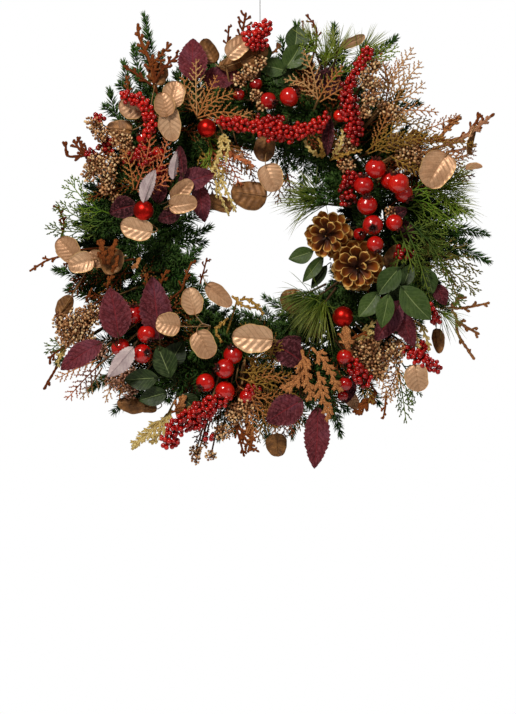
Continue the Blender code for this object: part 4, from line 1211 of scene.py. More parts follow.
ring = Bag()
for k in range(30):
    deg = 12 * k + rnd(-4, 4)
    r0 = rnd(160, 182)
    go = 1 if k % 2 else -1
    ends = [polar(r0, deg, rnd(14, 20)), polar(r0 + rnd(-8, 8), deg + go * 9, rnd(34, 44)), polar(r0 + rnd(-14, 14), deg + go * 19, rnd(34, 48))]
    fir(ring, ends, 4, 0.026, needle=0, stem=1, tone_and_shade=0.3, dense=1900, world=True, nl=0.0125)
ring.make("fir_ring_cover", FIR)

# named boughs, read from the outline
BOUGHS = {
    "fir_bough_top_left": [
        ([(172, 130, 18), (156, 86, 26), (145, 17, 28)], 5, 0.034, 0.55),
        ([(158, 118, 20), (142, 84, 26), (134, 48, 28)], 3, 0.018, 0.5),
        ([(146, 128, 20), (130, 96, 26), (124, 64, 28)], 3, 0.018, 0.42),
        ([(136, 140, 20), (118, 120, 24), (110, 92, 26)], 3, 0.02, 0.4),
    ],
    "fir_bough_left": [
        ([(128, 226, 20), (100, 222, 30), (78, 224, 30)], 4, 0.03, 0.4),
        ([(124, 262, 20), (92, 276, 30), (58, 270, 28)], 5, 0.03, 0.42),
        ([(126, 290, 20), (96, 296, 30), (70, 290, 28)], 4, 0.028, 0.4),
        ([(130, 200, 30), (112, 214, 40), (98, 236, 44)], 4, 0.03, 0.5),
    ],
    "fir_bough_bottom_left": [
        ([(146, 318, 20), (120, 366, 34), (92, 388, 34)], 5, 0.034, 0.4),
        ([(160, 350, 22), (140, 388, 34), (116, 410, 34)], 5, 0.034, 0.45),
        ([(128, 330, 20), (96, 356, 30), (60, 362, 26)], 4, 0.028, 0.4),
        ([(178, 366, 30), (160, 390, 50), (134, 396, 52)], 4, 0.03, 0.45),
    ],
    "fir_bough_bottom": [
        ([(222, 366, 22), (206, 392, 34), (184, 414, 34)], 5, 0.034, 0.4),
        ([(236, 372, 24), (232, 404, 34), (220, 436, 34)], 5, 0.03, 0.4),
        ([(252, 372, 24), (262, 410, 34), (268, 440, 34)], 5, 0.03, 0.45),
        ([(210, 350, 40), (188, 372, 66), (160, 386, 66)], 5, 0.034, 0.5),
        ([(244, 352, 40), (214, 348, 70), (186, 344, 72)], 5, 0.034, 0.5),
    ],
    "fir_bough_bottom_right": [
        ([(318, 358, 22), (330, 396, 40), (340, 432, 34)], 5, 0.034, 0.48),
        ([(300, 362, 24), (296, 398, 44), (292, 434, 44)], 5, 0.032, 0.42),
        ([(344, 350, 24), (366, 384, 36), (378, 402, 34)], 4, 0.03, 0.4),
        ([(312, 370, 50), (326, 392, 70), (332, 414, 70)], 4, 0.03, 0.45),
    ],
    "fir_bough_right": [
        ([(396, 232, 20), (440, 226, 34), (484, 234, 30)], 6, 0.034, 0.45),
        ([(400, 244, 22), (444, 244, 32), (486, 260, 28)], 5, 0.03, 0.42),
        ([(398, 210, 24), (430, 206, 34), (462, 210, 32)], 5, 0.03, 0.42),
        ([(394, 262, 22), (424, 290, 30), (446, 310, 26)], 4, 0.03, 0.4),
        ([(388, 296, 24), (410, 330, 34), (424, 352, 30)], 4, 0.03, 0.4),
    ],
    "fir_bough_top_right": [
        ([(316, 112, 22), (352, 72, 34), (394, 40, 30)], 5, 0.032, 0.5),
        ([(306, 108, 24), (300, 64, 34), (297, 26, 30)], 4, 0.026, 0.45),
        ([(286, 108, 20), (286, 70, 30), (282, 42, 30)], 4, 0.024, 0.42),
        ([(322, 104, 30), (334, 62, 44), (334, 28, 40)], 4, 0.026, 0.48),
        ([(356, 140, 22), (386, 112, 34), (417, 104, 30)], 5, 0.032, 0.45),
        ([(366, 160, 26), (404, 150, 36), (434, 150, 32)], 5, 0.032, 0.42),
    ],
    "fir_bough_inner_left": [
        ([(146, 250, 22), (176, 246, 36), (208, 228, 34)], 6, 0.034, 0.55),
        ([(150, 228, 24), (184, 222, 40), (206, 210, 38)], 5, 0.03, 0.5),
        ([(142, 278, 22), (168, 272, 38), (192, 262, 36)], 5, 0.032, 0.5),
        ([(160, 262, 40), (182, 266, 56), (198, 252, 54)], 5, 0.03, 0.55),
        ([(168, 296, 34), (190, 296, 54), (206, 286, 52)], 4, 0.026, 0.45),
    ],
}
for name, twigs in BOUGHS.items():
    bag = Bag()
    for pts, sides, sl, tone_and_shade in twigs:
        if name == "fir_bough_top_left":
            fir(bag, pts, sides, sl, tone_and_shade=tone_and_shade, nl=0.0136, nw=0.0021, dense=2400)
        else:
            fir(bag, pts, sides, sl * 1.04, tone_and_shade=tone_and_shade + (0.16 if name == "fir_bough_right" else 0.0), nl=0.0156, nw=0.0020, dense=2050)
        stem_to(bag, at(*pts[0]), 1, 0.0014)
    bag.make(name + "_needles", FIR, replaces=name)

inner = Bag()
for pts, sides, sl, tone_and_shade in [
    ([(326, 108, 44), (296, 112, 62), (264, 116, 60)], 6, 0.026, 0.55),
    ([(284, 128, 30), (284, 152, 44), (286, 178, 40)], 5, 0.026, 0.4),
    ([(300, 134, 30), (304, 164, 48), (302, 190, 46)], 5, 0.03, 0.45),
    ([(318, 140, 30), (324, 170, 50), (320, 200, 50)], 5, 0.03, 0.42),
    ([(262, 128, 30), (256, 144, 44), (250, 148, 42)], 4, 0.022, 0.5),
    ([(340, 150, 34), (344, 178, 52), (336, 206, 52)], 5, 0.03, 0.4),
    ([(356, 190, 34), (332, 190, 56), (306, 192, 56)], 5, 0.03, 0.45),
    ([(366, 250, 30), (350, 290, 48), (330, 296, 48)], 4, 0.03, 0.42),
    ([(352, 292, 30), (322, 300, 50), (292, 296, 44)], 5, 0.028, 0.4),
    ([(320, 336, 30), (296, 318, 44), (266, 298, 40)], 6, 0.03, 0.5),
    ([(290, 348, 30), (262, 322, 48), (236, 310, 44)], 5, 0.03, 0.5),
    ([(246, 350, 30), (230, 328, 48), (212, 316, 44)], 5, 0.028, 0.5),
    ([(220, 340, 30), (206, 320, 48), (196, 300, 44)], 4, 0.026, 0.45),
    ([(212, 128, 30), (206, 150, 50), (200, 172, 50)], 5, 0.03, 0.38),
    ([(190, 150, 34), (182, 178, 56), (190, 206, 56)], 5, 0.03, 0.4),
    ([(188, 136, 30), (204, 140, 50), (222, 150, 46)], 5, 0.026, 0.42),
    ([(236, 116, 30), (222, 104, 52), (202, 96, 52)], 5, 0.03, 0.4),
    ([(262, 108, 34), (276, 86, 54), (284, 60, 50)], 5, 0.03, 0.4),
    ([(200, 104, 34), (184, 86, 54), (180, 70, 50)], 4, 0.022, 0.5),
    ([(160, 170, 34), (146, 186, 54), (130, 190, 52)], 4, 0.026, 0.4),
]:
    fir(inner, pts, sides, sl, tone_and_shade=tone_and_shade)
    stem_to(inner, at(*pts[0]), 1, 0.0014)
inner.make("fir_inner_sprays", FIR)

# ------------------------------------------------------------------ pine tufts
PINE = ["pine_needle", "stem_bark", "pine_needle_dark"]
bag = Bag()
pine(bag, (322, 96, 52), (326, 56, 60), 60, 0.052, spread=0.42, tone_and_shade=0.6)
pine(bag, (330, 80, 54), (338, 50, 60), 50, 0.05, spread=0.5, tone_and_shade=0.7)
pine(bag, (346, 70, 56), (364, 52, 60), 50, 0.048, spread=0.3, tone_and_shade=0.65)
pine(bag, (322, 70, 54), (312, 42, 60), 40, 0.04, spread=0.35, tone_and_shade=0.6)
stem_to(bag, at(322, 96, 52), 1, 0.0014)
bag.make("pine_tuft_top_needles", PINE, replaces="pine_tuft_top")
bag = Bag()
pine(bag, (362, 208, 48), (314, 203, 54), 90, 0.060, spread=0.42, tone_and_shade=0.5, needle=2)
pine(bag, (346, 204, 52), (310, 198, 58), 50, 0.056, spread=0.34, tone_and_shade=0.6, needle=0)
pine(bag, (350, 220, 50), (312, 220, 54), 46, 0.05, spread=0.5, tone_and_shade=0.45, needle=2)
pine(bag, (352, 196, 50), (314, 192, 54), 40, 0.05, spread=0.4, tone_and_shade=0.5, needle=0)
stem_to(bag, at(362, 208, 48), 1, 0.0014)
bag.make("pine_tuft_inner_right_needles", PINE, replaces="pine_tuft_inner_right")
bag = Bag()
pine(bag, (338, 282, 52), (316, 298, 64), 90, 0.058, spread=0.4, tone_and_shade=0.5, droop=0.25, needle=2)
pine(bag, (336, 288, 54), (322, 306, 66), 70, 0.052, spread=0.36, tone_and_shade=0.6, droop=0.3, needle=0)
pine(bag, (326, 284, 50), (302, 296, 60), 50, 0.046, spread=0.4, tone_and_shade=0.5, droop=0.2, needle=2)
stem_to(bag, at(338, 282, 52), 1, 0.0014)
bag.make("pine_tuft_bottom_needles", PINE, replaces="pine_tuft_bottom")
bag = Bag()
pine(bag, (410, 196, 54), (448, 188, 60), 60, 0.05, spread=0.42, tone_and_shade=0.6, droop=0.15)
pine(bag, (416, 204, 54), (452, 204, 60), 40, 0.045, spread=0.4, tone_and_shade=0.6, droop=0.2)
pine(bag, (424, 304, 50), (444, 314, 54), 34, 0.042, spread=0.5, tone_and_shade=0.5, droop=0.2)
pine(bag, (428, 190, 52), (452, 180, 56), 36, 0.042, spread=0.4, tone_and_shade=0.7, droop=0.0)
stem_to(bag, at(410, 196, 54), 1, 0.0014)
stem_to(bag, at(424, 304, 50), 1, 0.0014)
bag.make("pine_tufts_right", PINE)

# ------------------------------------------------------------------ cedar
CEDAR = ["cedar_scale", "stem_green", "cedar_brown_tip", "cedar_bright"]
bag = Bag()
for pts, w, m in [
    ([(396, 262, 58), (424, 250, 64), (452, 268, 60)], 0.030, 0),
    ([(398, 268, 56), (436, 264, 62), (476, 290, 56)], 0.032, 2),
    ([(398, 274, 56), (428, 280, 60), (462, 302, 54)], 0.030, 0),
    ([(400, 248, 60), (416, 262, 68), (430, 298, 64)], 0.026, 0),
    ([(396, 236, 62), (420, 232, 68), (446, 246, 64)], 0.028, 0),
    ([(402, 256, 54), (446, 252, 58), (478, 272, 52)], 0.028, 2),
    ([(392, 236, 66), (400, 250, 72), (396, 268, 74)], 0.020, 0),
    ([(404, 226, 72), (416, 252, 82), (428, 290, 78)], 0.016, 0),
    ([(400, 230, 72), (408, 254, 84), (414, 278, 82)], 0.014, 0),
    ([(410, 222, 70), (432, 246, 78), (450, 280, 72)], 0.016, 0),
    ([(416, 234, 66), (444, 268, 72), (458, 300, 64)], 0.015, 2),
]:
    frond(bag, pts, w * 0.86, step=0.0082, r=0.0012, leaf_len=0.0044, leaf_w=0.0024, sub=0.0036, mat=m, stem=m, tone_and_shade=rnd(0.15, 0.65), depth=2, ang=32, curve=0.7, sub_ang=28)
stem_to(bag, at(398, 268, 56), 1, 0.0014)
bag.make("cedar_spray_right_fronds", CEDAR, replaces="cedar_spray_right")
bag = Bag()
for pts, w, m, tone_shade in [
    ([(110, 214, 52), (88, 204, 58), (70, 182, 54)], 0.026, 3, 0.5),
    ([(112, 222, 50), (86, 220, 56), (58, 206, 50)], 0.024, 0, 0.5),
    ([(108, 230, 48), (78, 232, 52), (48, 229, 46)], 0.022, 0, 0.3),
    ([(404, 192, 62), (436, 190, 68), (470, 216, 62)], 0.030, 3, 0.6),
    ([(402, 198, 62), (430, 204, 66), (458, 226, 60)], 0.028, 3, 0.5),
    ([(400, 206, 60), (422, 214, 64), (442, 230, 60)], 0.024, 0, 0.6),
    ([(396, 362, 56), (402, 392, 60), (406, 420, 54)], 0.020, 0, 0.5),
    ([(400, 360, 54), (412, 380, 58), (412, 402, 54)], 0.018, 0, 0.5),
    ([(350, 72, 60), (372, 60, 64), (396, 48, 58)], 0.022, 3, 0.8),
    ([(206, 132, 62), (212, 150, 66), (206, 168, 64)], 0.018, 3, 0.6),
    ([(72, 348, 40), (60, 346, 44), (48, 346, 40)], 0.016, 0, 0.4),
    ([(296, 62, 60), (306, 50, 66), (312, 36, 62)], 0.018, 3, 0.5),
    ([(330, 84, 60), (340, 72, 66), (346, 62, 64)], 0.018, 3, 0.6),
]:
    frond(bag, pts, w, step=0.0074, r=0.0011, leaf_len=0.0040, leaf_w=0.0022, sub=0.0034, mat=m, stem=m, tone_and_shade=tone_shade, depth=2, ang=36, curve=0.6, sub_ang=32)
    stem_to(bag, at(*pts[0]), 1, 0.0012)
bag.make("cedar_sprays_small", CEDAR)

# ------------------------------------------------------------------ ferns and cypress
FERN = ["copper_fern", "fern_champagne", "coral_fern", "fern_olive_gold", "stem_gold"]
bag = Bag()
for pts, w, m, st in [
    ([(197, 116, 76), (196, 92, 86), (196, 62, 84)], 0.018, 1, 0.0046),
    ([(198, 116, 78), (216, 100, 90), (234, 93, 88)], 0.017, 0, 0.0046),
    ([(198, 118, 78), (222, 112, 90), (248, 117, 86)], 0.016, 0, 0.0046),
    ([(198, 116, 76), (206, 98, 88), (216, 78, 84)], 0.014, 0, 0.0046),
    ([(197, 116, 76), (188, 98, 84), (183, 78, 82)], 0.013, 0, 0.0046),
    ([(200, 120, 78), (228, 122, 88), (250, 112, 86)], 0.013, 1, 0.0046),
    ([(136, 190, 82), (146, 160, 96), (152, 128, 94)], 0.016, 2, 0.0046),
    ([(142, 190, 82), (160, 166, 94), (168, 138, 92)], 0.016, 2, 0.0046),
    ([(134, 190, 80), (130, 166, 90), (124, 150, 88)], 0.014, 0, 0.0046),
    ([(138, 192, 84), (160, 184, 92), (176, 170, 88)], 0.012, 2, 0.0046),
    ([(318, 100, 76), (314, 78, 86), (305, 53, 82)], 0.016, 1, 0.0046),
    ([(318, 100, 76), (304, 84, 86), (287, 80, 82)], 0.014, 1, 0.0044),
    ([(318, 100, 76), (328, 84, 86), (342, 68, 82)], 0.015, 0, 0.0046),
    ([(320, 102, 76), (336, 92, 86), (350, 84, 82)], 0.013, 0, 0.0046),
    ([(390, 96, 62), (396, 74, 68), (412, 50, 60)], 0.017, 1, 0.0050),
    ([(391, 98, 62), (404, 82, 68), (420, 64, 60)], 0.017, 1, 0.0050),
    ([(391, 102, 60), (408, 96, 66), (423, 84, 58)], 0.016, 1, 0.0050),
    ([(389, 94, 62), (386, 74, 68), (380, 54, 60)], 0.014, 0, 0.0050),
    ([(396, 112, 60), (414, 110, 66), (436, 112, 58)], 0.014, 0, 0.0050),
    ([(100, 364, 64), (84, 380, 74), (68, 398, 66)], 0.017, 2, 0.0048),
    ([(102, 368, 64), (92, 384, 74), (82, 397, 66)], 0.014, 1, 0.0048),
    ([(98, 360, 62), (78, 368, 72), (58, 378, 64)], 0.016, 0, 0.0048),
    ([(112, 366, 64), (112, 382, 74), (106, 400, 68)], 0.014, 1, 0.0048),
    ([(130, 360, 60), (124, 380, 72), (120, 396, 66)], 0.013, 0, 0.0048),
]:
    frond(bag, pts, w * 0.82, step=st * 1.05, r=0.0011, leaf_len=0.0036, leaf_w=0.0021, sub=0.003, mat=m, stem=m, tone_and_shade=rnd(0.4, 0.9), ang=50, curve=0.35)
for h in [(197, 116, 76), (138, 190, 82), (318, 100, 76), (391, 98, 62), (100, 364, 64)]:
    stem_to(bag, at(*h), 4, 0.0014)
bag.make("filigree_ferns", FERN)

UNDER = ["copper_fern", "coral_fern", "fern_olive_gold", "copper_dark", "stem_gold"]
bag = Bag()
for k in range(58):
    deg = 360 * k / 58 + rnd(-3, 3)
    zone = deg % 360
    if 165 < zone < 192 or zone > 338 or zone < 8:
        continue
    outward = k % 3 != 0
    r0 = rnd(158, 186)
    far = reach(zone) - rnd(4, 22) if outward else inner_reach(zone) + rnd(16, 34)
    pts = spray_from(deg, r0, far, rnd(34, 50), rnd(44, 66), rnd(-45, 45))
    if in_cone_space(catmull(pts, 8)).any():
        continue
    pick_m = int(RNG.choice([0, 1, 2, 3], p=[0.32, 0.16, 0.3, 0.22]))
    frond(bag, pts, rnd(0.012, 0.019), step=0.0048, r=0.0010, leaf_len=0.0038, leaf_w=0.0018, sub=0.0032, mat=pick_m, stem=3, tone_and_shade=rnd(0.2, 0.6), world=True, ang=46, curve=0.4)
for pts, w, m in [
    ([(206, 140, 46), (216, 158, 60), (222, 186, 56)], 0.014, 0), ([(200, 146, 44), (206, 170, 58), (214, 196, 54)], 0.014, 3), ([(214, 138, 46), (230, 150, 60), (246, 172, 56)], 0.013, 2),
    ([(196, 190, 44), (204, 200, 52), (214, 206, 50)], 0.011, 3), ([(286, 392, 60), (290, 412, 72), (292, 434, 68)], 0.013, 1), ([(268, 396, 60), (264, 418, 72), (258, 440, 68)], 0.014, 2),
    ([(250, 398, 60), (240, 420, 70), (228, 436, 66)], 0.014, 0), ([(222, 402, 56), (206, 424, 66), (196, 440, 62)], 0.013, 3), ([(212, 400, 56), (198, 412, 66), (180, 424, 62)], 0.013, 0),
    ([(434, 168, 52), (452, 172, 58), (472, 176, 52)], 0.012, 3), ([(438, 160, 52), (456, 158, 58), (474, 152, 52)], 0.012, 0), ([(402, 122, 50), (414, 124, 56), (428, 120, 50)], 0.012, 2),
    ([(394, 108, 56), (402, 92, 62), (410, 78, 56)], 0.012, 2), ([(386, 100, 56), (390, 78, 62), (402, 62, 56)], 0.012, 0), ([(378, 112, 60), (384, 90, 68), (386, 66, 62)], 0.013, 2),
    ([(400, 366, 56), (392, 384, 62), (384, 398, 56)], 0.012, 0), ([(84, 280, 40), (74, 292, 46), (68, 300, 42)], 0.011, 3), ([(116, 296, 56), (104, 300, 64), (90, 296, 62)], 0.012, 3),
    ([(196, 150, 50), (208, 166, 64), (222, 176, 60)], 0.013, 2), ([(226, 142, 56), (238, 156, 70), (252, 172, 66)], 0.013, 0), ([(220, 146, 54), (230, 164, 66), (240, 184, 62)], 0.014, 1), ([(236, 142, 54), (246, 160, 66), (254, 180, 62)], 0.012, 3), ([(212, 146, 52), (222, 166, 62), (232, 186, 58)], 0.013, 2), ([(206, 142, 50), (216, 156, 64), (226, 172, 60)], 0.013, 1), ([(276, 168, 40), (280, 184, 48), (278, 202, 44)], 0.012, 0), ([(286, 170, 40), (290, 186, 48), (290, 204, 44)], 0.012, 3),
    ([(430, 150, 50), (450, 162, 56), (470, 170, 52)], 0.013, 2), ([(432, 164, 48), (448, 172, 54), (466, 182, 50)], 0.012, 0), ([(276, 392, 56), (284, 412, 66), (284, 436, 62)], 0.014, 3), ([(264, 392, 56), (272, 412, 68), (276, 434, 64)], 0.014, 0),
    ([(290, 388, 56), (296, 406, 66), (300, 428, 62)], 0.013, 2), ([(244, 362, 56), (252, 380, 74), (256, 402, 74)], 0.014, 3), ([(256, 360, 56), (268, 378, 74), (276, 398, 74)], 0.014, 2), ([(236, 380, 60), (244, 402, 76), (246, 426, 74)], 0.013, 1),
]:
    frond(bag, pts, w, step=0.0046, r=0.0011, leaf_len=0.0038, leaf_w=0.0019, sub=0.0031, mat=m, stem=m, tone_and_shade=0.45, ang=46, curve=0.4)
    stem_to(bag, at(*pts[0]), 4, 0.0011)
bag.make("copper_undergrowth", UNDER)

GOLD = ["gold_pale", "gold_deep", "copper_bright", "coral_fern"]
bag = Bag()
for pts, w, m, lw in [
    ([(216, 136, 72), (222, 146, 92), (212, 172, 90)], 0.012, 0, 0.0030),
    ([(218, 136, 74), (228, 142, 94), (226, 162, 92)], 0.010, 0, 0.0030),
    ([(216, 166, 66), (224, 186, 80), (236, 212, 74)], 0.011, 0, 0.0024),
    ([(218, 176, 66), (220, 194, 78), (229, 216, 72)], 0.009, 0, 0.0024),
    ([(212, 168, 66), (216, 182, 76), (217, 198, 72)], 0.008, 0, 0.0024),
    ([(224, 152, 70), (238, 158, 86), (254, 166, 82)], 0.010, 3, 0.0026),
    ([(320, 156, 72), (312, 152, 92), (304, 141, 90)], 0.010, 0, 0.0030),
    ([(322, 158, 72), (322, 148, 92), (318, 138, 90)], 0.009, 1, 0.0030),
    ([(332, 158, 72), (340, 146, 92), (343, 131, 90)], 0.011, 0, 0.0026),
    ([(330, 160, 70), (346, 154, 90), (362, 150, 88)], 0.009, 1, 0.0026),
    ([(240, 300, 80), (250, 300, 86), (264, 314, 84)], 0.010, 1, 0.0030),
    ([(232, 296, 78), (244, 306, 86), (256, 308, 84)], 0.009, 1, 0.0028),
    ([(168, 414, 56), (154, 429, 66), (132, 446, 60)], 0.020, 0, 0.0036),
    ([(172, 410, 56), (164, 426, 66), (152, 444, 60)], 0.017, 0, 0.0034),
    ([(66, 350, 50), (60, 356, 56), (58, 366, 52)], 0.010, 0, 0.0026),
    ([(362, 336, 70), (372, 324, 86), (384, 318, 84)], 0.011, 0, 0.0028),
    ([(356, 340, 70), (366, 336, 84), (374, 332, 82)], 0.010, 0, 0.0026),
    ([(418, 322, 66), (424, 332, 76), (430, 350, 72)], 0.012, 0, 0.0028),
    ([(414, 322, 66), (416, 336, 76), (420, 352, 72)], 0.010, 0, 0.0026),
    ([(246, 356, 80), (254, 366, 90), (252, 382, 88)], 0.010, 1, 0.0024),
    ([(228, 318, 78), (216, 330, 88), (222, 342, 86)], 0.008, 1, 0.0026),
]:
    lobed(bag, pts, w * 0.72, lw * 0.56, 0.0050, m, 0.5, ang=34, flat=0.5)
for h in [(216, 136, 72), (216, 170, 66), (322, 158, 72), (238, 298, 78), (168, 414, 56), (360, 338, 70), (416, 322, 66), (246, 356, 80)]:
    stem_to(bag, at(*h), 1, 0.0013)
bag.make("gold_cypress", GOLD)

bag = Bag()
for pts, w, m, lw in [
    ([(366, 152, 72), (388, 134, 86), (412, 114, 82)], 0.013, 3, 0.0022),
    ([(368, 154, 72), (396, 142, 86), (428, 128, 80)], 0.014, 3, 0.0022),
    ([(378, 148, 72), (408, 140, 84), (440, 136, 78)], 0.013, 3, 0.0022),
    ([(372, 150, 70), (384, 122, 84), (392, 104, 80)], 0.013, 0, 0.0022),
    ([(412, 146, 66), (444, 142, 74), (474, 144, 66)], 0.011, 3, 0.0024),
    ([(414, 150, 66), (440, 154, 72), (462, 156, 66)], 0.011, 0, 0.0022),
    ([(420, 132, 64), (440, 124, 70), (458, 116, 62)], 0.009, 0, 0.0026),
    ([(390, 156, 76), (404, 164, 84), (420, 172, 80)], 0.012, 3, 0.0022),
    ([(240, 372, 84), (258, 372, 94), (276, 362, 90)], 0.013, 3, 0.0020),
    ([(240, 378, 84), (262, 384, 94), (290, 374, 90)], 0.013, 3, 0.0020),
    ([(238, 386, 84), (260, 398, 94), (284, 394, 90)], 0.013, 0, 0.0020),
    ([(242, 392, 82), (262, 412, 92), (276, 424, 88)], 0.013, 0, 0.0020),
    ([(244, 398, 82), (252, 420, 90), (254, 438, 86)], 0.012, 0, 0.0022),
    ([(252, 362, 82), (270, 350, 92), (286, 344, 88)], 0.012, 3, 0.0020),
    ([(250, 382, 88), (272, 376, 98), (298, 384, 94)], 0.010, 0, 0.0020),
    ([(394, 362, 66), (398, 380, 72), (392, 396, 68)], 0.011, 1, 0.0022),
    ([(372, 366, 70), (384, 384, 80), (390, 400, 76)], 0.012, 1, 0.0022),
    ([(364, 366, 70), (366, 386, 80), (372, 402, 76)], 0.011, 3, 0.0022),
]:
    frond(bag, pts, w, step=0.0046, r=0.0009, leaf_len=0.0036, leaf_w=lw, sub=0.0032, mat=m, stem=m, tone_and_shade=rnd(0.3, 0.7), ang=44, curve=0.4)
for h in [(368, 152, 72), (414, 146, 66), (242, 384, 84), (392, 156, 76), (372, 366, 70)]:
    stem_to(bag, at(*h), 4, 0.0014)
bag.make("olive_gold_ferns", FERN)

# ------------------------------------------------------------------ flocked twigs
TWIG = ["copper_flock", "copper_dark", "copper_bright", "copper_pink"]
bag = Bag()
for pts, r, n, m, sp_ in [
    ([(156, 92, 62), (150, 62, 70), (139, 36, 68), (138, 24, 66)], 0.0026, 7, 0, 0.014),
    ([(152, 86, 60), (142, 78, 66), (124, 66, 62)], 0.0019, 4, 1, 0.010),
    ([(154, 84, 66), (164, 68, 74), (178, 56, 72)], 0.0021, 5, 1, 0.012),
    ([(150, 66, 70), (160, 56, 74), (171, 44, 72)], 0.0020, 5, 0, 0.012),
    ([(126, 100, 60), (128, 88, 66), (126, 76, 64)], 0.0014, 4, 0, 0.008),
    ([(227, 50, 56), (228, 38, 58), (229, 26, 56)], 0.0016, 3, 1, 0.007),
    ([(242, 44, 56), (243, 30, 60), (246, 13, 58)], 0.0019, 5, 1, 0.014),
    ([(268, 56, 60), (276, 50, 64), (280, 44, 62)], 0.0018, 3, 2, 0.009),
    ([(316, 46, 52), (316, 28, 56), (306, 15, 54)], 0.0015, 4, 1, 0.009),
    ([(304, 40, 52), (303, 30, 54), (303, 21, 52)], 0.0013, 2, 1, 0.006),
    ([(62, 236, 40), (64, 222, 46), (58, 207, 42)], 0.0018, 5, 1, 0.010),
    ([(78, 250, 36), (58, 257, 42), (46, 261, 40), (30, 271, 36)], 0.0018, 5, 0, 0.010),
    ([(104, 262, 84), (102, 250, 92), (101, 240, 90)], 0.0024, 3, 0, 0.010),
    ([(108, 262, 84), (112, 250, 92), (116, 240, 90)], 0.0024, 3, 0, 0.010),
    ([(108, 290, 74), (108, 284, 84), (112, 276, 82)], 0.0018, 3, 0, 0.010),
    ([(90, 292, 60), (86, 302, 66), (92, 288, 70)], 0.0014, 3, 0, 0.009),
    ([(182, 290, 66), (186, 276, 74), (192, 262, 72)], 0.0017, 3, 0, 0.011),
    ([(200, 284, 58), (204, 270, 64), (207, 258, 62)], 0.0013, 3, 1, 0.009),
    ([(146, 290, 74), (147, 282, 82), (145, 274, 80)], 0.0017, 3, 0, 0.008),
    ([(160, 286, 72), (163, 278, 80), (167, 270, 78)], 0.0016, 3, 0, 0.009),
    ([(176, 410, 64), (180, 402, 74), (184, 396, 72)], 0.0022, 3, 2, 0.013),
    ([(172, 412, 64), (180, 410, 74), (192, 407, 72)], 0.0017, 3, 0, 0.010),
    ([(238, 424, 80), (246, 440, 84), (254, 451, 80)], 0.0020, 6, 0, 0.013),
    ([(234, 420, 80), (240, 440, 84), (244, 456, 80)], 0.0017, 5, 1, 0.011),
    ([(244, 414, 82), (252, 430, 86), (250, 444, 82)], 0.0020, 4, 2, 0.012),
    ([(376, 392, 66), (368, 402, 70), (358, 412, 66)], 0.0026, 4, 0, 0.011),
    ([(386, 396, 62), (385, 408, 66), (383, 419, 62)], 0.0016, 3, 0, 0.009),
    ([(344, 336, 78), (348, 342, 88), (346, 327, 92)], 0.0026, 2, 2, 0.010),
    ([(338, 334, 78), (352, 338, 88), (366, 332, 86)], 0.0017, 3, 0, 0.008),
    ([(352, 350, 76), (348, 350, 86), (340, 334, 84)], 0.0018, 3, 2, 0.010),
    ([(90, 158, 50), (80, 150, 54), (74, 140, 50)], 0.0022, 5, 1, 0.012),
    ([(60, 330, 40), (58, 318, 44), (62, 306, 42)], 0.0013, 3, 1, 0.009),
    ([(72, 246, 40), (70, 254, 46), (66, 268, 44)], 0.0014, 3, 1, 0.008),
]:
    antler(bag, pts, r, sp_, n, m)
for h in [(156, 92, 62), (227, 50, 56), (242, 44, 56), (316, 46, 52), (78, 250, 36), (106, 264, 84), (182, 290, 66), (176, 410, 64), (238, 422, 80), (376, 392, 66), (90, 158, 50), (150, 290, 72)]:
    stem_to(bag, at(*h), 1, 0.0014)
for pts, w, r, m in [
    ([(344, 334, 80), (350, 344, 90), (347, 328, 94)], 0.008, 0.0030, 2),
    ([(352, 354, 78), (347, 346, 90), (344, 328, 92)], 0.006, 0.0030, 2),
    ([(180, 412, 66), (182, 404, 78), (186, 396, 76)], 0.009, 0.0026, 2),
    ([(176, 414, 66), (186, 412, 76), (196, 404, 74)], 0.008, 0.0024, 2),
    ([(376, 392, 66), (366, 404, 72), (356, 414, 68)], 0.010, 0.0028, 0),
    ([(436, 148, 60), (462, 139, 66), (490, 117, 58)], 0.010, 0.0021, 3),
    ([(430, 144, 60), (446, 131, 66), (461, 117, 58)], 0.008, 0.0019, 2),
    ([(446, 152, 58), (460, 150, 62), (476, 146, 54)], 0.007, 0.0018, 3),
    ([(104, 264, 86), (103, 252, 96), (101, 240, 94)], 0.007, 0.0028, 0),
    ([(108, 264, 86), (112, 252, 96), (116, 240, 94)], 0.007, 0.0028, 0),
    ([(112, 272, 84), (116, 264, 92), (118, 256, 90)], 0.006, 0.0024, 0),
    ([(132, 268, 76), (136, 266, 86), (140, 258, 84)], 0.006, 0.0024, 2),
    ([(228, 152, 66), (240, 158, 84), (254, 167, 80)], 0.010, 0.0021, 3),
    ([(246, 424, 80), (252, 438, 86), (248, 452, 82)], 0.008, 0.0022, 0),
]:
    lobed(bag, pts, w, r, 0.0075, m, 0.5)
stem_to(bag, at(440, 146, 60), 1, 0.0014)
bag.make("flocked_twigs", TWIG)

bag = Bag()
for pts, w in [
    ([(302, 350, 98), (306, 372, 110), (311, 400, 108)], 0.013),
    ([(318, 372, 98), (322, 394, 112), (330, 418, 108)], 0.013),
    ([(312, 348, 98), (326, 364, 110), (340, 392, 106)], 0.011),
    ([(306, 360, 98), (298, 380, 108), (286, 392, 104)], 0.010),
    ([(302, 372, 96), (290, 384, 106), (280, 388, 102)], 0.008),
]:
    lobed(bag, pts, w * 1.12, 0.0022, 0.0064, 2, 0.35)
stem_to(bag, at(304, 352, 96), 1, 0.0015)
bag.make("copper_twig_bottom_flock", TWIG, replaces="copper_twig_bottom")


def outer_tie(deg):
    return polar(1000 * OUTER_R, deg, -1000 * DOME + 3.3)


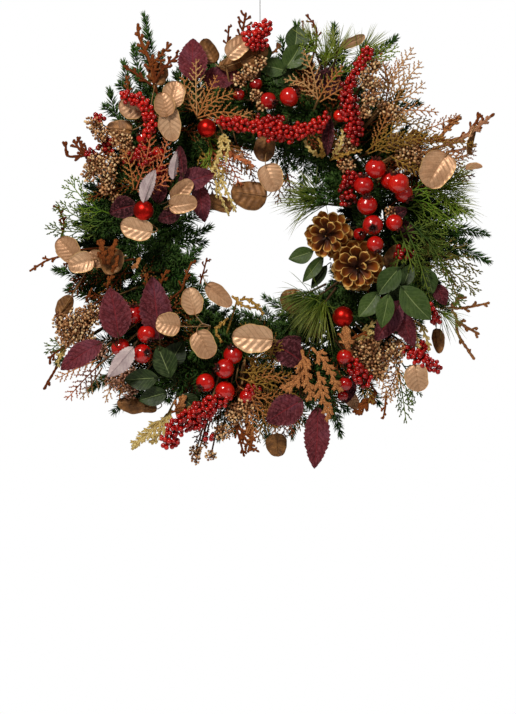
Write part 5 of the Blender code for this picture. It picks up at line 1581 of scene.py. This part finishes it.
OUTER = {
    "twig_left_upper": (152.0, [[(118, 162, -14), (104, 157, -4), (88, 155, 2), (68, 156, 6), (66, 142, 8)], [(98, 156, -1), (84, 150, 3), (78, 138, 4)]], 1),
    "twig_left_lower": (207.0, [[(112, 308, -14), (92, 322, -4), (62, 352, 2), (56, 368, 4), (44, 389, 4)], [(68, 344, 0), (52, 356, 2), (50, 364, 2)]], 1),
    "twig_right_lower": (-31.0, [[(408, 312, -14), (430, 306, -4), (454, 313, 2), (458, 334, 4), (474, 359, 4)], [(440, 308, -2), (462, 308, 2), (489, 303, 2)], [(456, 320, 2), (466, 327, 4), (479, 334, 4)], [(450, 312, 0), (456, 302, 2), (462, 296, 2)]], 2),
    "twig_right_upper": (31.0, [[(404, 146, -14), (424, 141, -4), (457, 139, 2), (478, 126, 5), (494, 114, 6)], [(440, 139, 0), (448, 126, 3), (459, 116, 4)], [(470, 131, 3), (478, 119, 4), (480, 114, 4)]], 0),
}
for name, (deg, runs, m) in OUTER.items():
    bag = Bag()
    tie = outer_tie(deg)
    for k, run in enumerate(runs):
        pts = [at(*q) for q in run]
        if k == 0:
            pts = [tie] + pts
        fat = 1.3 if "right" in name else 1.2
        antler(bag, pts, fat * (0.0019 if k == 0 else 0.0017), 0.011, 5 if k == 0 else 3, m, world=True, fork=0.45)
    bag.make(name + "_flock", TWIG, body=name, replaces="copper_" + name)

# ------------------------------------------------------------------ seed heads
SEED = ["seed_champagne", "stem_seed", "seed_brown", "seed_pink"]


def seeds(name, heads, replaces=(), mat=0, hub=None):
    b = Bag()
    for (u, v, d, r, n) in heads:
        seed_head(b, (u, v, d), r, n, hub=hub, mat=mat)
        stem_to(b, at(u, v, d) - VIEW * r * UNIT, 1, 0.0011)
    b.make(name, SEED, replaces=replaces)


seeds("seed_head_left_buds", [(94, 124, 72, 8, 10), (101, 134, 72, 8, 9), (121, 140, 78, 10, 14), (127, 150, 74, 8, 9), (96, 164, 74, 10, 13), (107, 174, 74, 9, 11), (90, 173, 68, 8, 9), (106, 187, 68, 8, 9), (112, 160, 68, 7, 7), (116, 199, 60, 6, 6), (104, 148, 60, 6, 6)], "seed_head_left")
seeds("seed_head_top_right_buds", [(374, 66, 92, 7, 9), (366, 79, 98, 9, 12), (374, 86, 92, 9, 12), (370, 99, 94, 8, 11), (364, 112, 88, 6, 7), (396, 116, 78, 9, 12), (384, 108, 80, 7, 8)], "seed_head_top_right", 0)
seeds("seed_head_bottom_left_buds", [(80, 322, 68, 14, 26), (68, 334, 64, 12, 18), (93, 314, 64, 10, 14), (62, 322, 60, 9, 10), (84, 338, 62, 10, 12)], "seed_head_bottom_left")
seeds("seed_head_bottom_right_buds", [(366, 352, 74, 14, 24), (379, 367, 72, 13, 20), (394, 351, 68, 12, 16), (372, 340, 66, 9, 10), (362, 366, 66, 9, 10)], "seed_head_bottom_right", 2)
seeds("seed_heads_small", [(240, 80, 74, 7, 9), (250, 72, 78, 8, 12), (260, 62, 76, 7, 10), (256, 96, 82, 6, 8), (262, 106, 84, 5, 7), (346, 146, 78, 9, 12), (409, 158, 72, 13, 20), (346, 166, 76, 8, 10), (390, 212, 80, 5, 6), (396, 142, 70, 9, 10), (420, 166, 68, 8, 8)], (), 0)
seeds("seed_heads_bottom", [(196, 451, 64, 6, 8), (196, 461, 62, 4, 5), (211, 455, 64, 5, 6), (236, 414, 84, 10, 14), (222, 432, 76, 8, 8), (248, 404, 84, 9, 12), (204, 444, 66, 4, 4)], (), 2)
seeds("seed_heads_pink", [(116, 380, 70, 10, 14), (128, 372, 70, 8, 9), (100, 350, 66, 8, 8), (130, 390, 66, 8, 8)], (), 3)

# ------------------------------------------------------------------ strands of small berries
SB = ["berry_small", "stem_bark"]


def strand(name, runs, replaces=()):
    b = Bag()
    for pts, n, rad, tone_shade in runs:
        berry_cluster(b, pts, n, rad, tone_and_shade=tone_shade)
        q = pts[len(pts) // 2]
        stem_to(b, at(q[0], q[1], q[2] - 4), 1, 0.0009)
    b.make(name, SB, replaces=replaces)


strand("berry_strand_left_berries", [
    ([(122, 96, 88), (134, 98, 92), (143, 105, 94), (148, 116, 96), (151, 128, 94), (144, 138, 92)], 74, 4.6, 0.6),
    ([(143, 146, 88), (144, 156, 90), (150, 164, 86)], 26, 5.5, 0.35),
    ([(164, 166, 78), (158, 174, 80), (150, 172, 78)], 14, 4.5, 0.2),
    ([(102, 116, 70), (96, 120, 74)], 8, 3.5, 0.4),
], "berry_strand_left")
strand("berry_strand_centre_berries", [
    ([(221, 122, 90), (234, 124, 94), (248, 126, 98), (266, 129, 102), (284, 131, 102), (300, 131, 100), (312, 128, 98), (322, 122, 96), (329, 113, 92)], 200, 5.1, 0.58),
    ([(258, 122, 92), (272, 124, 94), (286, 126, 94)], 26, 6.0, 0.25),
    ([(268, 136, 96), (284, 138, 98), (294, 138, 94)], 20, 3.8, 0.5),
], "berry_strand_centre")
strand("berry_strand_top_right_berries", [
    ([(369, 51, 94), (362, 62, 98), (354, 76, 98), (348, 94, 98), (348, 110, 96), (350, 128, 94), (352, 142, 90)], 110, 4.0, 0.45),
    ([(352, 96, 88), (356, 112, 90), (358, 130, 88), (354, 146, 84)], 50, 3.4, 0.3),
    ([(346, 84, 88), (346, 104, 90), (350, 120, 88)], 30, 4.5, 0.2),
], "berry_strand_top_right")
strand("berry_strand_bottom_berries", [
    ([(168, 446, 90), (173, 431, 94), (185, 420, 98), (199, 411, 98), (213, 404, 96), (230, 396, 92)], 118, 6.0, 0.5),
    ([(186, 428, 88), (200, 422, 92), (214, 413, 90)], 26, 3.6, 0.4),
    ([(214, 436, 78), (203, 438, 80)], 8, 3.0, 0.3),
], "berry_strand_bottom")
strand("berry_strands_small", [
    ([(245, 40, 86), (252, 36, 88), (260, 31, 88), (271, 24, 84)], 52, 5.6, 0.6),
    ([(250, 46, 84), (258, 42, 86), (266, 42, 84)], 22, 5.0, 0.4),
    ([(429, 306, 60), (434, 316, 64), (436, 324, 62)], 14, 3.6, 0.5),
    ([(404, 348, 68), (416, 356, 72), (430, 365, 72), (441, 368, 68)], 44, 4.6, 0.5),
    ([(424, 342, 66), (420, 356, 68)], 12, 4.0, 0.4),
    ([(350, 362, 82), (358, 372, 86), (366, 386, 82)], 30, 5.5, 0.4),
    ([(350, 178, 80), (346, 192, 80), (352, 204, 78)], 22, 6.0, 0.2),
    ([(354, 172, 82), (350, 184, 84)], 10, 5.0, 0.3),
    ([(112, 138, 60), (106, 152, 60)], 16, 6.0, 0.3),
    ([(128, 152, 70), (132, 162, 72)], 14, 5.5, 0.4),
    ([(92, 150, 56), (98, 172, 56)], 12, 6.0, 0.3),
    ([(248, 394, 86), (256, 386, 86)], 10, 4.5, 0.4),
    ([(334, 150, 72), (340, 160, 74)], 8, 4.0, 0.2),
    ([(398, 250, 70), (412, 256, 72)], 16, 5.0, 0.25),
])

# ------------------------------------------------------------------ large crowned berries
LB = ["berry_large", "crown_brown", "stem_bark"]


def picks(name, hub, berries, replaces=()):
    b = Bag()
    # a berry's tone value also carries painted shade: berries lying in shade are given low values
    for (u, v, d, r, crown, tone_shade) in berries:
        large_berry(b, (u, v, d), r, crown, hub=hub, tone_and_shade=tone_shade)
    stem_to(b, at(*hub), 2, 0.0013)
    b.make(name, LB, replaces=replaces)


picks("large_berries_right_upper_fruit", (378, 186, 62), [
    (375.5, 168.7, 92, 10.2, (0.05, -0.35, 0.95), 0.55), (363.6, 185.5, 92, 9.6, (-0.1, -0.35, 0.95), 0.45),
    (398.5, 183.5, 98, 10.6, (-0.3, -0.25, 0.9), 0.75), (389.5, 180.5, 84, 8.8, (-0.2, -0.3, 0.9), 0.6), (403.5, 193, 84, 9.2, (0.6, -0.3, -0.7), 0.5),
], "large_berries_right_upper")
picks("large_berries_right_lower_fruit", (378, 222, 66), [
    (367.2, 205.4, 94, 9.9, (-0.05, -0.6, 0.85), 0.5), (372.7, 225, 96, 9.9, (0.0, -0.85, -0.35), 0.45),
    (394, 222.5, 90, 8.4, (0.6, -0.1, -0.7), 0.6), (375, 244, 104, 8.2, (0.3, -0.35, -0.9), 0.55), (359.4, 234.5, 70, 6.4, (0.25, -0.9, 0.1), 0.25),
], "large_berries_right_lower")
picks("large_berries_left_fruit", (140, 339, 65), [
    (134.5, 314.5, 84, 9.2, (-0.1, -0.4, 0.9), 0.35), (146.5, 334, 92, 9.2, (0.45, -0.55, -0.7), 0.6),
    (120.5, 347.5, 88, 9.2, (-0.5, -0.3, 0.8), 0.5), (142.3, 353.8, 92, 9.4, (0.55, -0.75, 0.1), 0.5),
], "large_berries_left")
picks("large_berries_bottom_fruit", (222, 372, 66), [
    (233, 355, 94, 9.4, (-0.1, -0.6, 0.85), 0.45), (224.8, 368.8, 98, 9.6, (-0.75, -0.6, 0.1), 0.5),
    (205.5, 382.5, 94, 9.2, (-0.55, -0.6, -0.55), 0.6), (225, 390.5, 90, 9.6, (-0.2, -0.4, -0.9), 0.65),
], "large_berries_bottom")
# the berry at 289 is given a high tone and the others low ones: painted shade on the berries lying in shade
picks("large_berries_top_fruit", (276, 102, 62), [
    (289, 97, 86, 9.6, (0.9, -0.25, 0.3), 0.6), (268, 101, 80, 8.6, (0.75, -0.55, -0.3), 0.3), (256, 84, 72, 6.4, (-0.2, -0.5, 0.8), 0.15), (239, 95, 74, 5.8, (-0.2, -0.5, 0.8), 0.2),
], "large_berries_top")
picks("large_berries_small_picks", (352, 364, 58), [
    (344.5, 357, 84, 7.8, (0.2, -0.3, -0.9), 0.45), (345, 384, 82, 7.0, (0.1, -0.2, 0.9), 0.3), (358, 369, 78, 6.4, (0.1, -0.8, 0.5), 0.4), (343, 396, 76, 5.4, (0.1, -0.4, -0.9), 0.1),
])
picks("large_berries_left_small", (152, 160, 62), [(158, 153, 84, 6.6, (0.3, -0.4, 0.8), 0.5), (143, 138, 84, 6.4, (-0.4, -0.5, 0.5), 0.45), (162, 173, 74, 5.6, (0.2, -0.5, -0.8), 0.2)])
picks("large_berry_top_single", (346, 124, 60), [(340, 116, 80, 6.6, (0.1, -0.4, 0.9), 0.75)])
picks("large_berry_bottom_single", (246, 384, 60), [(247, 396.5, 84, 7.6, (0.4, -0.3, -0.8), 0.4)])

# ------------------------------------------------------------------ satin balls
BALL = ["ball_satin", "binding_wire"]
for name, c, r in [("matte_ball_left", (143.5, 210.5, 97), 9.9), ("matte_ball_top", (206.8, 128.2, 86), 9.2), ("matte_ball_bottom", (343, 316.8, 77), 10.3)]:
    bag = Bag()
    p = at(*c)
    balls(bag, [p], r * UNIT, 0, 0.5, 4)
    tube(bag, np.array([p - VIEW * r * UNIT * 0.97, p - VIEW * (r * UNIT + 0.004)]), 0.0022, 10, 1)
    stem_to(bag, p - VIEW * (r * UNIT + 0.003), 1, 0.0009)
    bag.make(name + "_satin", BALL, replaces=name)

# ------------------------------------------------------------------ flat leaves
GL = ["gold_leaf_top", "gold_leaf_under", "stem_gold"]
BL = ["burgundy_top", "burgundy_under", "stem_bark"]
NL = ["green_leaf_top", "green_leaf_under", "stem_green"]


# a leaf's tone value also carries painted shade: some leaves are given low values as painted shade for leaves lying in
# shadow
def leaves(name, kind, hub, items, replaces=()):
    b = Bag()
    for it in items:
        (u, v, d, ang, L, W), kw = it[:6], (it[6] if len(it) > 6 else {})
        leaf(b, kind, (u, v, d), ang, L, W, hub=kw.pop("hub", hub), **kw)
    if hub:
        stem_to(b, at(*hub), 2, 0.0013)
    b.make(name, {"gold": GL, "burgundy": BL, "green": NL}[kind], replaces=replaces)


U = dict(under=True)
leaves("gold_leaves_top_left_pleated", "gold", (150, 116, 70), [
    (131, 107, 78, 160, 25, 23, dict(pitch=8, tone_and_shade=0.7)), (119.5, 129, 66, 175, 26, 19, dict(under=True, pitch=-10)),
    (174, 94, 92, 78, 26, 23, dict(tone_and_shade=0.5)), (164, 104.5, 104, 105, 24, 20, dict(tone_and_shade=0.45)), (171, 124, 98, -84, 34, 22, dict(tone_and_shade=0.75, pitch=-6)), (159, 74, 66, 70, 22, 20, U),
], "gold_leaves_top_left")
leaves("gold_leaves_top_pleated", "gold", (226, 66, 66), [
    (209, 51, 62, 115, 26, 19, dict(under=True, roll=12)), (238, 48, 80, 40, 27, 20, dict(tone_and_shade=0.6)), (254, 56, 70, 24, 30, 17, dict(under=True, pitch=-8)), (232, 64, 62, 10, 26, 13, dict(under=True, pitch=-10)),
], "gold_leaves_top")
leaves("gold_leaves_left_pleated", "gold", (92, 262, 66), [
    (67, 249, 76, 130, 27, 23, dict(tone_and_shade=0.45)), (81, 263, 82, 196, 26, 21, dict(tone_and_shade=0.7)), (110, 261, 78, -78, 27, 25, dict(under=True)), (97, 258, 74, 150, 20, 17, dict(tone_and_shade=0.2)), (65, 306, 50, 60, 24, 16, U),
], "gold_leaves_left")
leaves("gold_leaves_lower_left_pleated", "gold", (210, 326, 92), [
    (192, 301, 100, 104, 27, 21, dict(tone_and_shade=0.75)), (219, 295, 90, -42, 32, 17, dict(tone_and_shade=0.5, hub=(208, 276, 74))), (168, 324.5, 108, 172, 24, 23, dict(tone_and_shade=0.6)), (204, 344.5, 110, -62, 29, 24, dict(tone_and_shade=0.5)),
], "gold_leaves_lower_left")
leaves("gold_leaves_bottom_pleated", "gold", (270, 342, 96), [(252.5, 338, 106, 176, 40, 28, dict(tone_and_shade=0.8))], "gold_leaves_bottom")
leaves("gold_leaves_right_pleated", "gold", (438, 152, 84), [
    (437, 170, 90, -122, 38, 33, dict(tone_and_shade=0.55)), (472, 140, 58, 78, 30, 15, dict(under=True, roll=66)), (474, 167, 60, 8, 17, 10, dict(roll=-40, tone_and_shade=0.6)),
], "gold_leaves_right")
leaves("gold_leaves_others", "gold", None, [
    (182, 191, 92, 48, 28, 17, dict(tone_and_shade=0.4, hub=(168, 206, 72))), (183, 204, 96, 8, 28, 19, dict(tone_and_shade=0.55, hub=(168, 210, 72))), (136.5, 228, 96, 165, 32, 22, dict(tone_and_shade=0.8, hub=(152, 224, 76))),
    (249, 194, 62, 172, 36, 29, dict(under=True, hub=(266, 176, 52))), (270.5, 178, 76, -70, 28, 25, dict(tone_and_shade=0.65, roll=-14, hub=(270, 152, 56))), (265, 149, 56, -100, 26, 21, dict(under=True, hub=(266, 132, 50))), (217, 204, 56, 165, 32, 16, dict(under=True, hub=(232, 190, 48))),
    (353.5, 41, 62, 22, 25, 11, dict(roll=30, tone_and_shade=0.7, hub=(340, 50, 50))), (131, 405, 58, 168, 28, 16, dict(under=True, hub=(150, 398, 48))), (147, 408, 54, 175, 20, 10, dict(under=True, hub=(160, 402, 46))),
    (277, 445, 66, -84, 23, 21, dict(under=True, hub=(276, 428, 56))), (293, 301, 52, 150, 27, 24, dict(under=True, tone_and_shade=0.3, hub=(308, 312, 44))), (417.5, 378, 74, -80, 27, 24, dict(tone_and_shade=0.7, hub=(414, 358, 62))),
    (438, 341, 58, -82, 25, 14, dict(under=True, roll=30, hub=(434, 324, 50))), (351, 401, 58, -50, 21, 13, dict(tone_and_shade=0.4, hub=(342, 392, 52))), (393, 257, 62, 66, 26, 15, dict(under=True, hub=(390, 274, 54))), (413, 138, 60, 60, 18, 14, dict(under=True, hub=(406, 148, 52))),
])
leaves("burgundy_leaves_top_velvet", "burgundy", (202, 92, 60), [
    (193.5, 59.5, 74, 92, 42, 30, dict(tone_and_shade=0.85)), (222, 76, 58, 8, 38, 23, dict(tone_and_shade=0.65)),
], "burgundy_leaves_top")
leaves("burgundy_leaves_left_velvet", "burgundy", (176, 194, 76), [
    (181, 161, 88, 98, 30, 15, dict(tone_and_shade=0.3, roll=-25)), (174, 165, 92, 82, 28, 12, dict(under=True, roll=38, hub=(172, 182, 80))), (196, 179, 84, 18, 38, 23, dict(tone_and_shade=0.6)), (148.8, 186, 104, 70, 34, 15, dict(under=True, roll=20, hub=(146, 204, 92))),
    (202, 203, 72, -82, 38, 20, dict(tone_and_shade=0.7)), (123, 209, 70, 196, 28, 23, dict(tone_and_shade=0.1, hub=(138, 206, 62))), (160, 190, 78, 78, 26, 17, dict(tone_and_shade=0.35)), (169, 216, 70, 200, 24, 16, dict(tone_and_shade=0.1)),
], "burgundy_leaves_left")
leaves("burgundy_leaves_lower_left_velvet", "burgundy", (112, 338, 96), [
    (114, 313, 108, 100, 49, 32, dict(tone_and_shade=0.75)), (81, 356, 106, 214, 48, 23, dict(tone_and_shade=0.9)), (120.5, 362, 112, 230, 38, 18, dict(under=True, hub=(134, 344, 104))),
], "burgundy_leaves_lower_left")
leaves("burgundy_leaves_inner_velvet", "burgundy", (156, 340, 80), [(156, 308, 98, 97, 62, 32, dict(tone_and_shade=0.6))])
leaves("burgundy_leaves_bottom_velvet", "burgundy", (302, 396, 90), [
    (284.5, 411, 100, 212, 41, 31, dict(tone_and_shade=0.65)), (316, 438, 94, -93, 60, 26, dict(tone_and_shade=0.8)), (287, 353, 88, 150, 36, 28, dict(tone_and_shade=0.3, hub=(304, 362, 80))), (290, 344, 84, 30, 26, 18, dict(tone_and_shade=0.15, hub=(280, 352, 78))),
], "burgundy_leaves_bottom")
leaves("burgundy_leaves_others", "burgundy", None, [
    (388, 321, 88, -122, 46, 23, dict(tone_and_shade=0.6, under=False, hub=(400, 300, 78))), (406, 327, 82, -68, 43, 20, dict(tone_and_shade=0.75, hub=(400, 304, 76))), (440.5, 295, 66, -62, 23, 16, dict(tone_and_shade=0.5, hub=(432, 284, 58))),
    (349, 391, 66, -105, 26, 13, dict(tone_and_shade=0.15, hub=(352, 378, 60))), (328, 80, 62, 62, 30, 27, dict(tone_and_shade=0.05, hub=(318, 96, 54))), (328, 137, 84, -96, 36, 13, dict(tone_and_shade=0.15, roll=30, hub=(332, 118, 74))), (408, 233, 58, -74, 26, 14, dict(tone_and_shade=0.0, hub=(402, 218, 50))), (398, 214, 70, 30, 22, 14, dict(tone_and_shade=0.05, hub=(390, 220, 62))),
])
leaves("green_leaves_right_matt", "green", (398, 296, 88), [
    (389, 281, 102, 231, 34, 22, dict(tone_and_shade=0.5, hub=(402, 268, 90))), (368.5, 304.5, 98, 232, 31, 20, dict(tone_and_shade=0.6)), (385, 311, 106, 258, 34, 18, dict(tone_and_shade=0.65)), (416, 303, 104, -48, 44, 27, dict(tone_and_shade=0.6)), (407.5, 275, 84, 70, 24, 15, dict(tone_and_shade=0.2)), (429, 281, 72, -74, 27, 17, dict(tone_and_shade=0.3, hub=(426, 268, 64))), (396, 292, 84, 120, 24, 16, dict(tone_and_shade=0.2)),
], "green_leaves_right")
# these leaves are given very low tones, a painted shade for leaves lying in shadow
leaves("green_leaves_lower_left_matt", "green", (174, 372, 76), [
    (164, 361.5, 92, 113, 34, 24, dict(tone_and_shade=0.08)), (141, 379, 88, 184, 34, 21, dict(tone_and_shade=0.12)), (153, 396.5, 80, 196, 29, 19, dict(tone_and_shade=0.1)), (176, 354, 82, 60, 28, 22, dict(tone_and_shade=0.0)), (189, 404, 72, -44, 26, 19, dict(tone_and_shade=0.0)),
], "green_leaves_lower_left")
leaves("green_leaves_others", "green", None, [
    (295, 38, 64, 84, 26, 23, dict(tone_and_shade=0.35, hub=(292, 56, 54))), (293, 56, 68, 58, 28, 22, dict(tone_and_shade=0.6, hub=(284, 70, 58))), (272, 68, 62, 168, 30, 19, dict(tone_and_shade=0.5, hub=(286, 68, 54))), (303, 62, 66, 30, 22, 15, dict(tone_and_shade=0.6, hub=(294, 70, 56))), (284, 78, 56, -30, 28, 20, dict(tone_and_shade=0.1, hub=(274, 72, 50))),
    (264, 52, 66, 70, 20, 15, dict(tone_and_shade=0.5, hub=(262, 62, 58))), (301, 255, 48, 198, 26, 17, dict(tone_and_shade=0.6, hub=(318, 254, 32))), (313, 269, 46, 232, 33, 13, dict(tone_and_shade=0.5, hub=(330, 260, 30))), (319, 277, 40, 236, 28, 11, dict(tone_and_shade=0.1, hub=(330, 268, 28))),
])

# ------------------------------------------------------------------ pine cones
for key, base, tip, R in CONES:
    bag = Bag()
    cone_scales(bag, base, tip, R, 32 if key == "upper" else 34)
    b, t = at(*base), at(*tip)
    ax = unit(t - b)
    tube(bag, np.array([b + ax * 0.004, b - ax * 0.0075]), 0.0022, 8, 1)
    bag.make(f"pine_cone_{key}_scales", ["cone_scale", "stem_bark"], body=f"pine_cone_{key}", replaces=f"pine_cone_{key}")

# ------------------------------------------------------------------ room
import bmesh

st = Mat("backdrop", 0.9)
st.color(st.ramp(st.noise(2.0, 2), [(0.3, (0.86, 0.86, 0.86)), (0.7, (0.88, 0.88, 0.88))]))
fl = bpy.data.meshes.new("floor")
bm = bmesh.new()
rim_v = [bm.verts.new((1.1 * math.cos(math.radians(a)), 1.1 * math.sin(math.radians(a)), -1.15)) for a in range(0, 360, 5)]
bm.faces.new(rim_v)
bm.to_mesh(fl)
bm.free()
fl.materials.append(MAT["backdrop"])
floor = bpy.data.objects.new("floor", fl)
scene.collection.objects.link(floor)

world = bpy.data.worlds.new("studio")
scene.world = world
world.use_nodes = True
wn = world.node_tree
bg = wn.nodes["Background"]
bg.inputs[0].default_value = (1.0, 0.97, 0.92, 1)
bg.inputs[1].default_value = 0.13
seen = wn.nodes.new("ShaderNodeBackground")
seen.inputs[0].default_value = (1, 1, 1, 1)
seen.inputs[1].default_value = 1.0
path = wn.nodes.new("ShaderNodeLightPath")
pick = wn.nodes.new("ShaderNodeMixShader")
wn.links.new(path.outputs["Is Camera Ray"], pick.inputs[0])
wn.links.new(bg.outputs[0], pick.inputs[1])
wn.links.new(seen.outputs[0], pick.inputs[2])
wn.links.new(pick.outputs[0], wn.nodes["World Output"].inputs[0])


def area(name, loc, target, size, power, color=(1, 1, 1)):
    l = bpy.data.lights.new(name, "AREA")
    l.shape = "RECTANGLE"
    l.size, l.size_y = size
    l.energy = power
    l.color = color
    o = bpy.data.objects.new(name, l)
    o.location = loc
    d = np.array(target) - np.array(loc)
    from mathutils import Vector
    o.rotation_euler = Vector(d).to_track_quat("-Z", "Y").to_euler()
    scene.collection.objects.link(o)


C = (0, 0, -0.36)
area("key", (-1.0, -2.1, 1.3), C, (0.6, 0.6), 60, (1.0, 0.96, 0.88))
area("fill", (1.9, -2.2, 0.2), C, (1.3, 1.3), 8, (1.0, 0.97, 0.92))
area("back_light", (0.5, 2.2, 0.9), C, (1.2, 1.2), 42)
scene.view_settings.view_transform = "Standard"
scene.view_settings.look = "None"
scene.view_settings.exposure = 0.0
